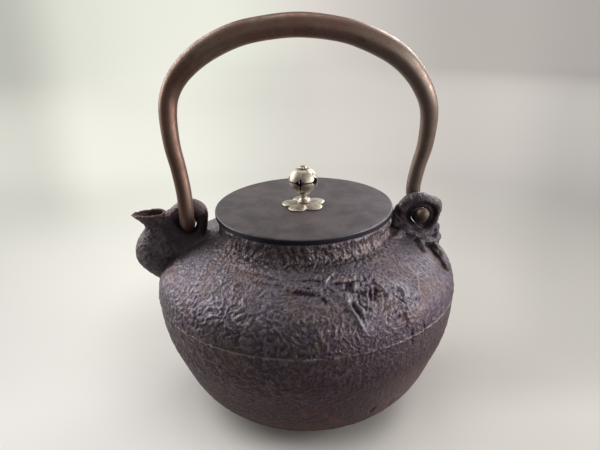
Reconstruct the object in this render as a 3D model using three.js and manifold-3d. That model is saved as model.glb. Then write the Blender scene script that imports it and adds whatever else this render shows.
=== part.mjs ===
// Cast iron water kettle with a flat lid, a pierced plum bud knob and a bronze bail handle.
// Millimetres, +Z up. The origin is the middle of the flat base, and the spout points along -X.
import * as THREE from "three";
import { mergeVertices } from "three/addons/utils/BufferGeometryUtils.js";
import Module from "manifold-3d";

const wasm = await Module();
wasm.setup();

// Gap between pieces that seat on each other
const seatGap = 0.3;
// Length by which a cutting solid passes the face that it cuts
const overrun = 4;

// Iron body
const baseRadius = 41;
const bodyRadius = 88.2;
const shoulderHeight = 110.8;
const shoulderWidth = 38.2;
const neckHeight = 10.9;
const neckWaist = 0.7;
const neckWall = 4;
const rimRounding = 0.8;
const bodyWall = 3;
const floorThickness = 3.6;
const seamHeight = 78;
const seamWidth = 2.6;
const seamRise = 0.5;
// Outline above the base, from the foot to the neck: radius in shares of bodyRadius,
// height in shares of shoulderHeight
const outlineShares = [
  [0.535, 0.027],
  [0.7, 0.108],
  [0.827, 0.229],
  [0.908, 0.372],
  [0.974, 0.519],
  [1, 0.68],
  [0.993, 0.76],
  [0.958, 0.828],
  [0.878, 0.889],
  [0.76, 0.94],
  [0.655, 0.978],
];
const outlineSteps = 18;
const bodySides = 50;

// Spout, whose bulge stands out from the eye of the front lug and lies below the shoulder
const spoutStandoff = 19.8;
const spoutDrop = 12.3;
const bulgeRadius = 13.2;
const spoutWall = 2.4;
const lipWall = 1.5;
// Rings from the root to the lip. The middle's reach and rise from the bulge, the half length, the half width
// and the narrowing to a point are shares of bulgeRadius. The last value is the tilt in degrees.
const spoutShares = [
  [1.52, -1.33, 0.61, 0.61, 0, 58],
  [1.02, -0.95, 0.76, 0.76, 0, 54],
  [0.48, -0.53, 0.92, 0.92, 0, 46],
  [0, 0, 1, 1, 0, 24],
  [-0.07, 0.49, 0.84, 0.86, 0, 2],
  [-0.01, 0.91, 0.6, 0.62, 0, 0],
  [0, 1.25, 0.46, 0.45, 0.04, 2],
  [0, 1.54, 0.6, 0.49, 0.12, 9],
  [-0.24, 1.87, 0.75, 0.55, 0.24, 8],
];
const spoutSteps = 20;
const spoutSides = 20;

// Eyes of the lugs, where the hooks of the handle rest. The eyes stand out from the lid, and the hooks' axis
// rises from the shoulder there. The room that an eye leaves round the hook is given along and up.
const eyeStandoff = 16.7;
const hingeRise = 12.3;
const frontEyeRoomAlong = 0.9;
const frontEyeRoomUp = 1.6;
const rearEyeRoomAlong = 3.835;
const rearEyeRoomUp = 3.035;
const rearEyeDrop = 0.8;
const eyeSteps = 24;
const eyeSides = 8;

// Front lug above the spout, a smooth arch that leans on the spout. Each row goes round the eye from the lid's
// side over the top: outer reach from the eye's middle, half width, and shift of that width backwards,
// in shares of frontEyeHalfHeight.
const frontLugShares = [
  [2.2, 0.85, 0],
  [2.68, 0.78, 0],
  [2.56, 0.72, 0],
  [2.3, 0.86, 0.05],
  [2.45, 1.15, 0.1],
  [2.7, 1.3, 0.1],
  [2.5, 1.25, 0.05],
  [2.3, 1.05, 0],
];
// Foot of the front lug, from its top down: shift along X, height from the eye's middle, half length
// and half width, in shares of frontEyeHalfHeight
const frontFootShares = [
  [0.11, -1.11, 1.83, 0.86],
  [0.22, -1.54, 2.32, 1.25],
  [0.38, -2.08, 2.8, 1.55],
  [0.43, -3.16, 3.13, 1.78],
];
const footSteps = 6;
const footSides = 20;

// Rear lug, a knotted branch that is thickest behind its outer side. Each row goes round the eye from the outer
// side over the top: outer reach, half width, and shift of that width backwards, in shares of rearEyeHalfHeight.
const rearLugShares = [
  [1.52, 0.84, 0.34],
  [1.7, 0.8, 0.26],
  [1.74, 0.66, 0.08],
  [1.86, 0.63, 0],
  [1.94, 0.6, 0],
  [1.98, 0.62, 0],
  [1.86, 0.6, 0],
  [1.72, 0.64, 0],
  [1.75, 0.78, 0.1],
  [1.9, 0.96, 0.16],
  [1.9, 1.06, 0.26],
  [1.62, 0.94, 0.34],
];
// Foot of the rear lug, in rows like the front one's, in shares of rearEyeHalfHeight
const rearFootShares = [
  [0, -1.12, 1.35, 0.66],
  [-0.1, -1.4, 1.64, 0.95],
  [-0.22, -1.8, 1.84, 1.2],
  [-0.28, -2.7, 1.95, 1.45],
];
// Roots that grow from the rear lug over the shoulder. Each row: place from the eye's middle along X and Y,
// height of the root's middle above the shoulder's face, and the root's radius, in shares of rearEyeHalfHeight.
const outerRootShares = [
  [1.34, -0.06, 1.61, 0.33],
  [1.3, -0.63, 0.77, 0.38],
  [1.3, -1.51, 0.29, 0.36],
  [1.46, -2.4, 0.14, 0.33],
  [1.66, -3.09, 0.12, 0.31],
  [1.77, -3.59, 0.06, 0.28],
];
const middleRootShares = [
  [-0.11, -0.37, 0.3, 0.43],
  [-0.24, -1.26, 0.12, 0.4],
  [-0.3, -2.14, 0.05, 0.34],
  [-0.17, -2.96, 0, 0.26],
];
const innerRootShares = [
  [-1.24, -0.26, 0.2, 0.5],
  [-1.63, -1.01, 0, 0.43],
  [-2.13, -1.83, -0.08, 0.36],
  [-2.63, -2.51, -0.1, 0.28],
];
const knotShares = [
  [-1.6, -0.26, 0.43, 0.5],
  [-1.69, 0.13, 1.28, 0.45],
  [-1.76, 0.44, 1.6, 0.33],
];
const rootSteps = 8;
const rootSides = 10;

// Bail handle: the middle line of the rod
const handleRise = 110.2;
const gripRadius = 6.5;
const hookOffset = 11;
// The rod from the top of the grip down to the tip of each hook, a little fuller on the spout's side.
// Half width and rise at the rear, half width and rise at the spout, rod radius and sideways offset,
// in shares of eyeDistance, handleRise, gripRadius and hookOffset.
const handleShares = [
  [0, 1, 0, 1, 1, 0],
  [0.31, 0.974, 0.31, 0.986, 0.985, 0],
  [0.528, 0.929, 0.534, 0.953, 1.01, 0],
  [0.756, 0.85, 0.767, 0.882, 0.99, 0],
  [0.908, 0.752, 0.944, 0.788, 0.9, 0.02],
  [1.006, 0.642, 1.038, 0.693, 0.82, 0.1],
  [1.045, 0.538, 1.064, 0.594, 0.77, 0.3],
  [1.035, 0.386, 1.049, 0.453, 0.71, 0.58],
  [0.994, 0.262, 1.009, 0.33, 0.67, 0.82],
  [0.965, 0.155, 0.982, 0.21, 0.66, 0.97],
  [0.965, 0.088, 0.978, 0.1, 0.65, 1],
  [0.975, 0.034, 0.987, 0.034, 0.63, 0.76],
  [0.982, 0.007, 0.994, 0.007, 0.62, 0.36],
  [0.986, 0, 0.998, 0, 0.61, 0],
  [0.991, 0.01, 1.002, 0.01, 0.6, -0.4],
  [0.999, 0.04, 1.01, 0.04, 0.56, -0.76],
];
const handleSteps = 68;
const handleSides = 12;
const capSteps = 3;

// Lid
const lidOverhang = 2;
const lidThickness = 2.8;
const lidEdgeRounding = 1.2;
const flangeClearance = 0.7;
const flangeThickness = 1.4;
const flangeDepth = 7.2;
const lidSides = 50;

// Rivet that holds the knob, and the holes it passes through
const rivetRadius = 1;
const rivetHeadRadius = 2;
const rivetHeadHeight = 0.9;
const rivetEndDrop = 0.6;
const rivetSides = 16;
const burrRadius = 4.6;
const burrThickness = 1;

// Petal washer under the knob
const petalCount = 5;
const petalPhase = Math.PI / petalCount;
const washerRadius = 13.4;
const washerThickness = 2.1;
const washerRimThickness = 0.9;
// Dome of a petal, from its tip in: radius in shares of washerRadius, height in shares of washerThickness
const washerDomeShares = [
  [0.98, 0.43],
  [0.82, 0.78],
  [0.6, 1],
];
// Between two petals: radius in shares of washerRadius, height in shares of washerThickness
const washerNotchShare = 0.62;
const washerValleyShare = 0.55;
// Power of the wave round the axis that rounds the petals: nearer to 0 is fuller
const petalFullness = 0.55;
const washerSides = 40;

// Spool-shaped collar between the washer and the bud
const collarHeight = 5.6;
const collarTopRadius = 3.4;
const collarWaistRadius = 1.8;
const collarFootRadius = 3.6;
const collarFlange = 0.7;
const collarSides = 20;

// Plum bud of two thin shells, a cup and a crown
const budRadius = 8.25;
const budHalfHeight = 7.6;
const budWall = 0.9;
// Depth of the creases between the petals in shares of the radius, the power that narrows them,
// and the share of the radius by which they are full
const budCreaseShare = 0.11;
const budCreasePower = 2;
const budCreaseStartShare = 0.33;
const budSeamRise = 0.8;
const windowHalfWidth = 2.2;
const windowHalfHeight = 1.9;
const slitWidth = 0.9;
const slitLength = 2.6;
const budSides = 30;
const budSteps = 5;

// Rosette that closes the top of the bud
const rosetteRadius = 2.5;
const rosetteHeight = 1.7;
// Edge of the rosette, from its seat up: radius in shares of rosetteRadius, height in shares of rosetteHeight
const rosetteShares = [
  [0.7, 0],
  [1, 0.3],
  [0.9, 0.65],
  [0.7, 1],
];
const rosetteNotchShare = 0.8;
const rosetteSides = 20;

// Heights and places that follow from the sizes above
const rimHeight = shoulderHeight + neckHeight;
const neckRadius = bodyRadius - shoulderWidth;
const mouthRadius = neckRadius - neckWall;
const lidRadius = neckRadius + lidOverhang;
const lidTop = rimHeight + lidThickness;
const washerTop = lidTop + washerThickness;
const collarTop = washerTop + collarHeight;
const boreRadius = rivetRadius + seatGap;
const budMiddle = collarTop + seatGap + budHalfHeight;
const budSeam = budMiddle + budSeamRise;
const budTop = budMiddle + budHalfHeight;
const rosetteTop = budTop + seatGap + rosetteHeight;
const eyeDistance = lidRadius + eyeStandoff;
const spoutDistance = eyeDistance + spoutStandoff;
const spoutHeight = shoulderHeight - spoutDrop;
const hingeHeight = shoulderHeightAt(eyeDistance) + hingeRise;
const hookRow = handleShares.findIndex((row) => row[1] === 0);
const hookRadius = handleShares[hookRow][4] * gripRadius;
const frontEyeHalfLength = hookRadius + frontEyeRoomAlong;
const frontEyeHalfHeight = hookRadius + frontEyeRoomUp;
const rearEyeHalfLength = hookRadius + rearEyeRoomAlong;
const rearEyeHalfHeight = hookRadius + rearEyeRoomUp;
const eyeFloor = hingeHeight - hookRadius - seatGap;
const frontEyeHeight = eyeFloor + frontEyeHalfHeight;
const rearEyeHeight = eyeFloor - rearEyeDrop + rearEyeHalfHeight;

// Colours and finishes
const finishes = {
  iron: { color: 0x463c40, roughness: 0.75, metalness: 0.5 },
  patina: { color: 0x3c3a3c, roughness: 0.45, metalness: 0.7 },
  bronze: { color: 0x8a6f57, roughness: 0.42, metalness: 0.9 },
  silver: { color: 0xb3a892, roughness: 0.28, metalness: 1 },
};

function finish(name) {
  return new THREE.MeshStandardMaterial(finishes[name]);
}

// A closed geometry as a solid that can be joined and cut
function solid(geometry) {
  const bare = geometry.clone();
  for (const extra of ["normal", "uv"]) {
    bare.deleteAttribute(extra);
  }
  const merged = mergeVertices(bare);
  return new wasm.Manifold(
    new wasm.Mesh({
      numProp: 3,
      vertProperties: merged.attributes.position.array,
      triVerts: new Uint32Array(merged.index.array),
    }),
  );
}

// A named mesh of a solid, or of a geometry that needed no cut
function piece(name, shape, finishName) {
  let geometry = shape;
  if (!shape.isBufferGeometry) {
    const mesh = shape.getMesh();
    geometry = new THREE.BufferGeometry();
    geometry.setAttribute("position", new THREE.BufferAttribute(mesh.vertProperties, 3));
    geometry.setIndex(new THREE.BufferAttribute(mesh.triVerts, 1));
    geometry.computeVertexNormals();
  }
  const made = new THREE.Mesh(geometry, finish(finishName));
  made.name = name;
  return made;
}

// A profile of [radius, height] points turned about +Z, whose first side starts at the angle given
function turned(profile, sides, start = 0) {
  const points = profile.map(([radius, height]) => new THREE.Vector2(radius, height));
  const lathe = new THREE.LatheGeometry(points, sides, start + Math.PI / 2);
  return lathe.rotateX(Math.PI / 2);
}

// A skin through rings of equally many points. It closes on itself, or ends in a fan at each end.
function skin(rings, loops) {
  const sides = rings[0].length;
  const points = rings.flat();
  const faces = [];
  const spans = loops ? rings.length : rings.length - 1;
  for (let i = 0; i < spans; i += 1) {
    const here = i * sides;
    const there = ((i + 1) % rings.length) * sides;
    for (let j = 0; j < sides; j += 1) {
      const k = (j + 1) % sides;
      faces.push(here + j, here + k, there + k);
      faces.push(here + j, there + k, there + j);
    }
  }
  if (!loops) {
    const last = points.length - sides;
    for (const [first, turn] of [[0, 1], [last, 0]]) {
      const middle = new THREE.Vector3();
      for (let j = 0; j < sides; j += 1) {
        middle.addScaledVector(points[first + j], 1 / sides);
      }
      for (let j = 0; j < sides; j += 1) {
        const pair = [first + j, first + ((j + 1) % sides)];
        faces.push(points.length, pair[turn], pair[1 - turn]);
      }
      points.push(middle);
    }
  }
  const geometry = new THREE.BufferGeometry().setFromPoints(points);
  geometry.setIndex(faces);
  geometry.computeVertexNormals();
  return geometry;
}

// Values between the rows of a table, on smooth curves. The place runs from 0 to 1, round again if it loops.
function rowAt(rows, place, loops = false) {
  const count = rows.length;
  const run = place * (loops ? count : count - 1);
  const from = Math.min(Math.floor(run), loops ? count - 1 : count - 2);
  const part = run - from;
  const pick = (i) => (loops ? rows[(i + count) % count] : rows[Math.max(0, Math.min(count - 1, i))]);
  const [a, b, c, d] = [-1, 0, 1, 2].map((step) => pick(from + step));
  return b.map((_, column) => {
    const slopeIn = (c[column] - a[column]) / 2;
    const slopeOut = (d[column] - b[column]) / 2;
    const rise = c[column] - b[column];
    const square = part * part;
    const cube = square * part;
    return b[column] + slopeIn * (cube - 2 * square + part) + slopeOut * (cube - square)
      + rise * (3 * square - 2 * cube);
  });
}

// A round limb of changing radius through rows of [x, y, z, radius], with rounded ends
function limb(rows, steps, sides) {
  const middles = rows.map(([x, y, z]) => new THREE.Vector3(x, y, z));
  const path = new THREE.CatmullRomCurve3(middles, false, "centripetal");
  const frames = path.computeFrenetFrames(steps);
  const rings = [];
  const addRing = (index, radius, shift) => {
    const middle = path.getPointAt(index / steps).addScaledVector(frames.tangents[index], shift);
    rings.push(circle(sides, (across, up) => middle.clone()
      .addScaledVector(frames.normals[index], across * radius)
      .addScaledVector(frames.binormals[index], up * radius)));
  };
  const radiusAt = (index) => rowAt(rows, path.getUtoTmapping(index / steps))[3];
  for (let cap = 1; cap <= capSteps; cap += 1) {
    const angle = (cap / (capSteps + 1)) * (Math.PI / 2);
    const radius = radiusAt(0);
    addRing(0, radius * Math.sin(angle), -radius * Math.cos(angle));
  }
  for (let index = 0; index <= steps; index += 1) {
    addRing(index, radiusAt(index), 0);
  }
  for (let cap = capSteps; cap >= 1; cap -= 1) {
    const angle = (cap / (capSteps + 1)) * (Math.PI / 2);
    const radius = radiusAt(steps);
    addRing(steps, radius * Math.sin(angle), radius * Math.cos(angle));
  }
  return skin(rings, false);
}

// Points round a circle of radius 1, each passed to the function that places it
function circle(sides, place) {
  return Array.from({ length: sides }, (_, i) => {
    const angle = (i / sides) * 2 * Math.PI;
    return place(Math.cos(angle), Math.sin(angle));
  });
}

// Radius and height of the iron body's outer face, from the foot to the neck
function bodyOutline() {
  const foot = [baseRadius, 0];
  const shoulder = outlineShares.map(([radius, height]) => [radius * bodyRadius, height * shoulderHeight]);
  const rows = [...shoulder, [neckRadius, shoulderHeight]];
  const curve = Array.from({ length: outlineSteps + 1 }, (_, i) => rowAt(rows, i / outlineSteps));
  return [foot, ...curve];
}

// A line of points moved sideways, outwards where the distance is positive
function offsetLine(points, distance) {
  return points.map(([radius, height], i) => {
    const before = points[Math.max(0, i - 1)];
    const after = points[Math.min(points.length - 1, i + 1)];
    const along = new THREE.Vector2(after[0] - before[0], after[1] - before[1]).normalize();
    return [radius + along.y * distance, height - along.x * distance];
  });
}

// Radius of the body's outer face at a height
function bodyRadiusAt(height) {
  const line = bodyOutline();
  const above = line.findIndex((point) => point[1] >= height);
  const [low, high] = [line[above - 1], line[above]];
  return THREE.MathUtils.mapLinear(height, low[1], high[1], low[0], high[0]);
}

// Height of the shoulder's outer face at a radius
function shoulderHeightAt(radius) {
  const line = bodyOutline().reverse();
  const widest = Math.max(...line.map((point) => point[0]));
  const place = THREE.MathUtils.clamp(radius, line[0][0], widest);
  const below = Math.max(1, line.findIndex((point) => point[0] >= place));
  const [high, low] = [line[below - 1], line[below]];
  return THREE.MathUtils.mapLinear(place, high[0], low[0], high[1], low[1]);
}

// The body's full outer form, grown by a gap, that cuts what stands on it
function bodyCutter(gap) {
  const grown = offsetLine(bodyOutline(), gap);
  const neck = [neckRadius + gap, rimHeight + overrun];
  return solid(turned([[0, -gap], [grown[0][0], -gap], ...grown.slice(1), neck, [0, neck[1]]], bodySides));
}

function kettleShell() {
  const outer = bodyOutline();
  const inner = offsetLine(outer.slice(1), -bodyWall).filter(
    ([radius, height], i) => height > floorThickness && radius > mouthRadius && i % 2 === outlineSteps % 2,
  );
  const throat = inner[inner.length - 1][1];
  const neck = [
    [neckRadius - neckWaist, (shoulderHeight + rimHeight) / 2],
    [neckRadius, rimHeight - rimRounding],
    [neckRadius - rimRounding, rimHeight],
    [mouthRadius, rimHeight],
    [mouthRadius, throat],
  ];
  const floor = [[baseRadius, floorThickness], [0, floorThickness]];
  const profile = [[0, 0], ...outer, ...neck, ...inner.reverse(), ...floor];
  const seamMiddle = bodyRadiusAt(seamHeight);
  const seam = [
    [seamMiddle - bodyWall / 2, seamHeight - seamWidth / 2],
    [seamMiddle, seamHeight - seamWidth / 2],
    [seamMiddle + seamRise, seamHeight],
    [seamMiddle, seamHeight + seamWidth / 2],
    [seamMiddle - bodyWall / 2, seamHeight + seamWidth / 2],
  ];
  const bore = solid(spoutForm(-spoutWall, -lipWall));
  return solid(turned(profile, bodySides))
    .add(solid(turned([...seam, seam[0]], bodySides)))
    .subtract(bore);
}

// The spout's outer form, or its bore where the walls are negative
function spoutForm(rootGrowth, lipGrowth) {
  const rings = [];
  const past = lipGrowth < 0 ? 1 : 0;
  for (let i = 0; i <= spoutSteps + past; i += 1) {
    const place = Math.min(1, i / spoutSteps);
    const [reach, rise, length, width, point, tilt] = rowAt(spoutShares, place);
    const growth = rootGrowth + (lipGrowth - rootGrowth) * place ** 3;
    const turn = THREE.MathUtils.degToRad(tilt);
    const lift = i > spoutSteps ? overrun / 2 : 0;
    const middle = new THREE.Vector3(
      -spoutDistance + reach * bulgeRadius - Math.sin(turn) * lift,
      0,
      spoutHeight + rise * bulgeRadius + Math.cos(turn) * lift,
    );
    rings.push(circle(spoutSides, (along, across) => {
      const forward = along * (length * bulgeRadius + growth);
      const sideways = across * (width * bulgeRadius + growth) * (1 + point * along);
      return new THREE.Vector3(
        middle.x + forward * Math.cos(turn),
        sideways,
        middle.z + forward * Math.sin(turn),
      );
    }));
  }
  return skin(rings, false);
}

function spout() {
  return solid(spoutForm(0, 0))
    .subtract(solid(spoutForm(-spoutWall, -lipWall)))
    .subtract(bodyCutter(seatGap));
}

// A ring round an eye, whose reach, half width and shift backwards follow a table of shares of the eye's
// half height. The table starts at +X and goes over the top.
function eyeRing(shares, middleX, middleZ, halfLength, halfHeight) {
  const rings = [];
  for (let i = 0; i < eyeSteps; i += 1) {
    const place = i / eyeSteps;
    const angle = place * 2 * Math.PI;
    const [reachShare, widthShare, shiftShare] = rowAt(shares, place, true);
    const outward = new THREE.Vector3(Math.cos(angle), 0, Math.sin(angle));
    const hole = (halfLength * halfHeight) / Math.hypot(halfHeight * outward.x, halfLength * outward.z);
    const reach = reachShare * halfHeight + Math.abs(outward.x) * (halfLength - halfHeight);
    const middle = new THREE.Vector3(middleX, 0, middleZ).addScaledVector(outward, (reach + hole) / 2);
    rings.push(circle(eyeSides, (along, across) => middle.clone()
      .addScaledVector(outward, along * (reach - hole) / 2)
      .add(new THREE.Vector3(0, (across * widthShare + shiftShare) * halfHeight, 0))));
  }
  return skin(rings, true);
}

// The flared foot that carries an eye on the shoulder
function eyeFoot(shares, middleX, middleZ, unit) {
  const rings = [];
  for (let i = footSteps; i >= 0; i -= 1) {
    const [shift, rise, length, width] = rowAt(shares, i / footSteps).map((share) => share * unit);
    rings.push(circle(footSides, (along, across) => new THREE.Vector3(
      middleX + shift + along * length,
      across * width,
      middleZ + rise,
    )));
  }
  return skin(rings, false);
}

function frontLug() {
  return solid(eyeRing(frontLugShares, -eyeDistance, frontEyeHeight, frontEyeHalfLength, frontEyeHalfHeight))
    .add(solid(eyeFoot(frontFootShares, -eyeDistance, frontEyeHeight, frontEyeHalfHeight)))
    .subtract(solid(spoutForm(2 * seatGap, 2 * seatGap)))
    .subtract(bodyCutter(seatGap));
}

// A root of the rear lug, laid over the shoulder
function root(shares) {
  const rows = shares.map((row) => {
    const [along, across, lift, radius] = row.map((share) => share * rearEyeHalfHeight);
    const x = eyeDistance + along;
    return [x, across, shoulderHeightAt(Math.hypot(x, across)) + lift, radius];
  });
  return solid(limb(rows, rootSteps, rootSides));
}

function rearLug() {
  return solid(eyeRing(rearLugShares, eyeDistance, rearEyeHeight, rearEyeHalfLength, rearEyeHalfHeight))
    .add(solid(eyeFoot(rearFootShares, eyeDistance, rearEyeHeight, rearEyeHalfHeight)))
    .add(root(outerRootShares))
    .add(root(middleRootShares))
    .add(root(innerRootShares))
    .add(root(knotShares))
    .subtract(bodyCutter(seatGap));
}

// The rod of the handle, whose hooks point opposite ways
function bailHandle() {
  const half = (direction, width, rise) => handleShares.map((row) => [
    direction * row[width] * eyeDistance,
    direction * row[5] * hookOffset,
    hingeHeight + row[rise] * handleRise,
    row[4] * gripRadius,
  ]);
  const rows = [...half(-1, 2, 3).slice(1).reverse(), ...half(1, 0, 1)];
  return limb(rows, handleSteps, handleSides);
}

function lid() {
  const flangeOuter = mouthRadius - flangeClearance;
  const flangeInner = flangeOuter - flangeThickness;
  const profile = [
    [boreRadius, rimHeight],
    [flangeInner, rimHeight],
    [flangeInner, rimHeight - flangeDepth],
    [flangeOuter, rimHeight - flangeDepth],
    [flangeOuter, rimHeight],
    [lidRadius - lidEdgeRounding / 2, rimHeight],
    [lidRadius, rimHeight + lidEdgeRounding / 2],
    [lidRadius, lidTop - lidEdgeRounding],
    [lidRadius - lidEdgeRounding * (1 - Math.SQRT1_2), lidTop - lidEdgeRounding * (1 - Math.SQRT1_2)],
    [lidRadius - lidEdgeRounding, lidTop],
    [boreRadius, lidTop],
  ];
  return turned([...profile, profile[0]], lidSides);
}

// Moves each point of a turned form in towards the axis, and down, between its petals
function petalled(geometry, notchShare, valleyShare, bottom, startRadius, fullRadius) {
  const place = geometry.getAttribute("position");
  for (let i = 0; i < place.count; i += 1) {
    const [x, y, z] = [place.getX(i), place.getY(i), place.getZ(i)];
    const radius = Math.hypot(x, y);
    const bulge = Math.abs(Math.cos((petalCount / 2) * (Math.atan2(y, x) - petalPhase))) ** petalFullness;
    const reach = THREE.MathUtils.clamp((radius - startRadius) / (fullRadius - startRadius), 0, 1);
    const inward = 1 - (1 - notchShare) * (1 - bulge) * reach;
    const down = 1 - (1 - valleyShare) * (1 - bulge) * Math.sqrt(reach);
    place.setXYZ(i, x * inward, y * inward, bottom + (z - bottom) * down);
  }
  geometry.computeVertexNormals();
  return geometry;
}

function petalWasher() {
  const profile = [
    [boreRadius, lidTop],
    [collarFootRadius, lidTop],
    [washerRadius - washerRimThickness, lidTop],
    [washerRadius, lidTop + washerRimThickness / 2],
    ...washerDomeShares.map(([radius, height]) => [radius * washerRadius, lidTop + height * washerThickness]),
    [collarFootRadius, washerTop],
    [boreRadius, washerTop],
  ];
  return petalled(
    turned([...profile, profile[0]], washerSides),
    washerNotchShare,
    washerValleyShare,
    lidTop,
    collarFootRadius,
    washerRadius,
  );
}

function knobCollar() {
  const waistHeight = (washerTop + collarTop) / 2;
  const profile = [
    [boreRadius, washerTop],
    [collarFootRadius, washerTop],
    [collarFootRadius, washerTop + collarFlange],
    [(collarFootRadius + collarWaistRadius) / 2, washerTop + 2 * collarFlange],
    [collarWaistRadius, waistHeight],
    [collarWaistRadius, waistHeight + collarFlange],
    [(collarTopRadius + collarWaistRadius) / 2, collarTop - 2 * collarFlange],
    [collarTopRadius, collarTop - collarFlange],
    [collarTopRadius, collarTop],
    [boreRadius, collarTop],
  ];
  return turned([...profile, profile[0]], collarSides);
}

// One shell of the bud between two heights of its middle line, thin walled and creased between the petals
function budShell(lowAngle, highAngle) {
  const arc = (shrink, from, to) => Array.from({ length: budSteps + 1 }, (_, i) => {
    const angle = from + ((to - from) * i) / budSteps;
    return [(budRadius - shrink) * Math.cos(angle), budMiddle + (budHalfHeight - shrink) * Math.sin(angle)];
  });
  const profile = [...arc(0, lowAngle, highAngle), ...arc(budWall, highAngle, lowAngle)];
  const shell = turned([...profile, profile[0]], budSides, petalPhase);
  const place = shell.getAttribute("position");
  for (let i = 0; i < place.count; i += 1) {
    const [x, y, z] = [place.getX(i), place.getY(i), place.getZ(i)];
    const reach = Math.max(0, (Math.hypot(x, y) - boreRadius) / (budRadius - boreRadius));
    const fromCrease = Math.abs(Math.sin((petalCount / 2) * (Math.atan2(y, x) - petalPhase)));
    const depth = Math.min(1, reach / budCreaseStartShare) * budCreaseShare;
    const inward = 1 - depth * (1 - fromCrease) ** budCreasePower;
    place.setXYZ(i, x * inward, y * inward, z);
  }
  return solid(shell);
}

// Diamond windows where four petals meet
function budWindows() {
  let windows = null;
  for (let i = 0; i < petalCount; i += 1) {
    const window = new THREE.CylinderGeometry(1, 1, budRadius, 4);
    window.scale(windowHalfWidth, 1, windowHalfHeight);
    window.translate(0, budRadius / 2 + collarTopRadius, 0);
    window.rotateZ(petalPhase - Math.PI / 2 + (i * 2 * Math.PI) / petalCount);
    window.translate(0, 0, budSeam);
    windows = windows ? windows.add(solid(window)) : solid(window);
  }
  return windows;
}

// Short slits in the cup below the windows
function budSlits() {
  let slits = null;
  for (let i = 0; i < petalCount; i += 1) {
    const slit = new THREE.BoxGeometry(budRadius, slitWidth, slitLength + windowHalfHeight);
    slit.translate(budRadius / 2 + collarTopRadius, 0, 0);
    slit.rotateZ(petalPhase + (i * 2 * Math.PI) / petalCount);
    slit.translate(0, 0, budSeam - (slitLength + windowHalfHeight) / 2);
    slits = slits ? slits.add(solid(slit)) : solid(slit);
  }
  return slits;
}

const poleAngle = Math.acos(boreRadius / (budRadius - budWall));
const seamAngle = (rise) => Math.asin((budSeamRise + rise) / budHalfHeight);

function budCup() {
  return budShell(-poleAngle, seamAngle(-seatGap / 2)).subtract(budWindows()).subtract(budSlits());
}

function budCrown() {
  return budShell(seamAngle(seatGap / 2), poleAngle).subtract(budWindows());
}

function rivetRosette() {
  const bottom = budTop + seatGap;
  const profile = [
    [boreRadius, bottom],
    ...rosetteShares.map(([radius, height]) => [radius * rosetteRadius, bottom + height * rosetteHeight]),
    [boreRadius, rosetteTop],
  ];
  return petalled(
    turned([...profile, profile[0]], rosetteSides),
    rosetteNotchShare,
    1,
    bottom,
    boreRadius,
    rosetteRadius,
  );
}

function rivetBurr() {
  const top = rimHeight - seatGap;
  const bottom = top - burrThickness;
  const profile = [[boreRadius, bottom], [burrRadius, bottom], [burrRadius, top], [boreRadius, top]];
  return turned([...profile, profile[0]], collarSides);
}

function knobRivet() {
  const headTop = rimHeight - burrThickness - 2 * seatGap;
  const profile = [
    [0, headTop - rivetHeadHeight],
    [rivetHeadRadius / 2, headTop - rivetHeadHeight],
    [rivetHeadRadius, headTop - rivetHeadHeight / 2],
    [rivetHeadRadius, headTop],
    [rivetRadius, headTop],
    [rivetRadius, rosetteTop - rivetEndDrop],
    [0, rosetteTop - rivetEndDrop / 2],
  ];
  return turned(profile, rivetSides);
}

// The whole kettle
const kettle = new THREE.Group();

const casting = new THREE.Group();
casting.add(piece("kettle_shell", kettleShell(), "iron"));
casting.add(piece("spout", spout(), "iron"));
casting.add(piece("front_lug", frontLug(), "iron"));
casting.add(piece("rear_lug", rearLug(), "iron"));
kettle.add(casting);

kettle.add(piece("bail_handle", bailHandle(), "bronze"));

const lidGroup = new THREE.Group();
lidGroup.add(piece("lid", lid(), "patina"));
lidGroup.add(piece("petal_washer", petalWasher(), "silver"));
lidGroup.add(piece("knob_collar", knobCollar(), "silver"));
lidGroup.add(piece("knob_rivet", knobRivet(), "silver"));
lidGroup.add(piece("rivet_rosette", rivetRosette(), "silver"));
lidGroup.add(piece("rivet_burr", rivetBurr(), "silver"));
kettle.add(lidGroup);

const bud = new THREE.Group();
bud.add(piece("bud_cup", budCup(), "silver"));
bud.add(piece("bud_crown", budCrown(), "silver"));
kettle.add(bud);

export default kettle;
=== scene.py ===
# Cast iron water kettle with a bronze bail, a flat lid and a pierced plum bud knob.
# Sizes are in millimetres. They become metres when a mesh is made.
import math

import bpy
import numpy as np
from mathutils import Matrix, Vector
from mathutils.bvhtree import BVHTree


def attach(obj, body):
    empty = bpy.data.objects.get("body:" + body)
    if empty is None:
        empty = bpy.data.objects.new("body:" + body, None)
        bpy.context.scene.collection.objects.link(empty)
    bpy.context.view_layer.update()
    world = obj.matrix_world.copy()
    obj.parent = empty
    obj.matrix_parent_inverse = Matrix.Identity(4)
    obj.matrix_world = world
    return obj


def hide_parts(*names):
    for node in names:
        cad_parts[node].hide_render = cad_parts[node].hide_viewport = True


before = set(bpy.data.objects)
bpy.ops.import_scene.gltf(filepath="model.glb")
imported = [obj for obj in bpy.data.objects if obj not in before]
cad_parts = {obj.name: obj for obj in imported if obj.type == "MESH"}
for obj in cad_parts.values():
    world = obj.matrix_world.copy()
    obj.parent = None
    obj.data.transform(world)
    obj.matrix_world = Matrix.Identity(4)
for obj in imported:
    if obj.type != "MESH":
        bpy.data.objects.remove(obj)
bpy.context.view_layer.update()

MM = 0.001
SEED = 7

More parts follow.
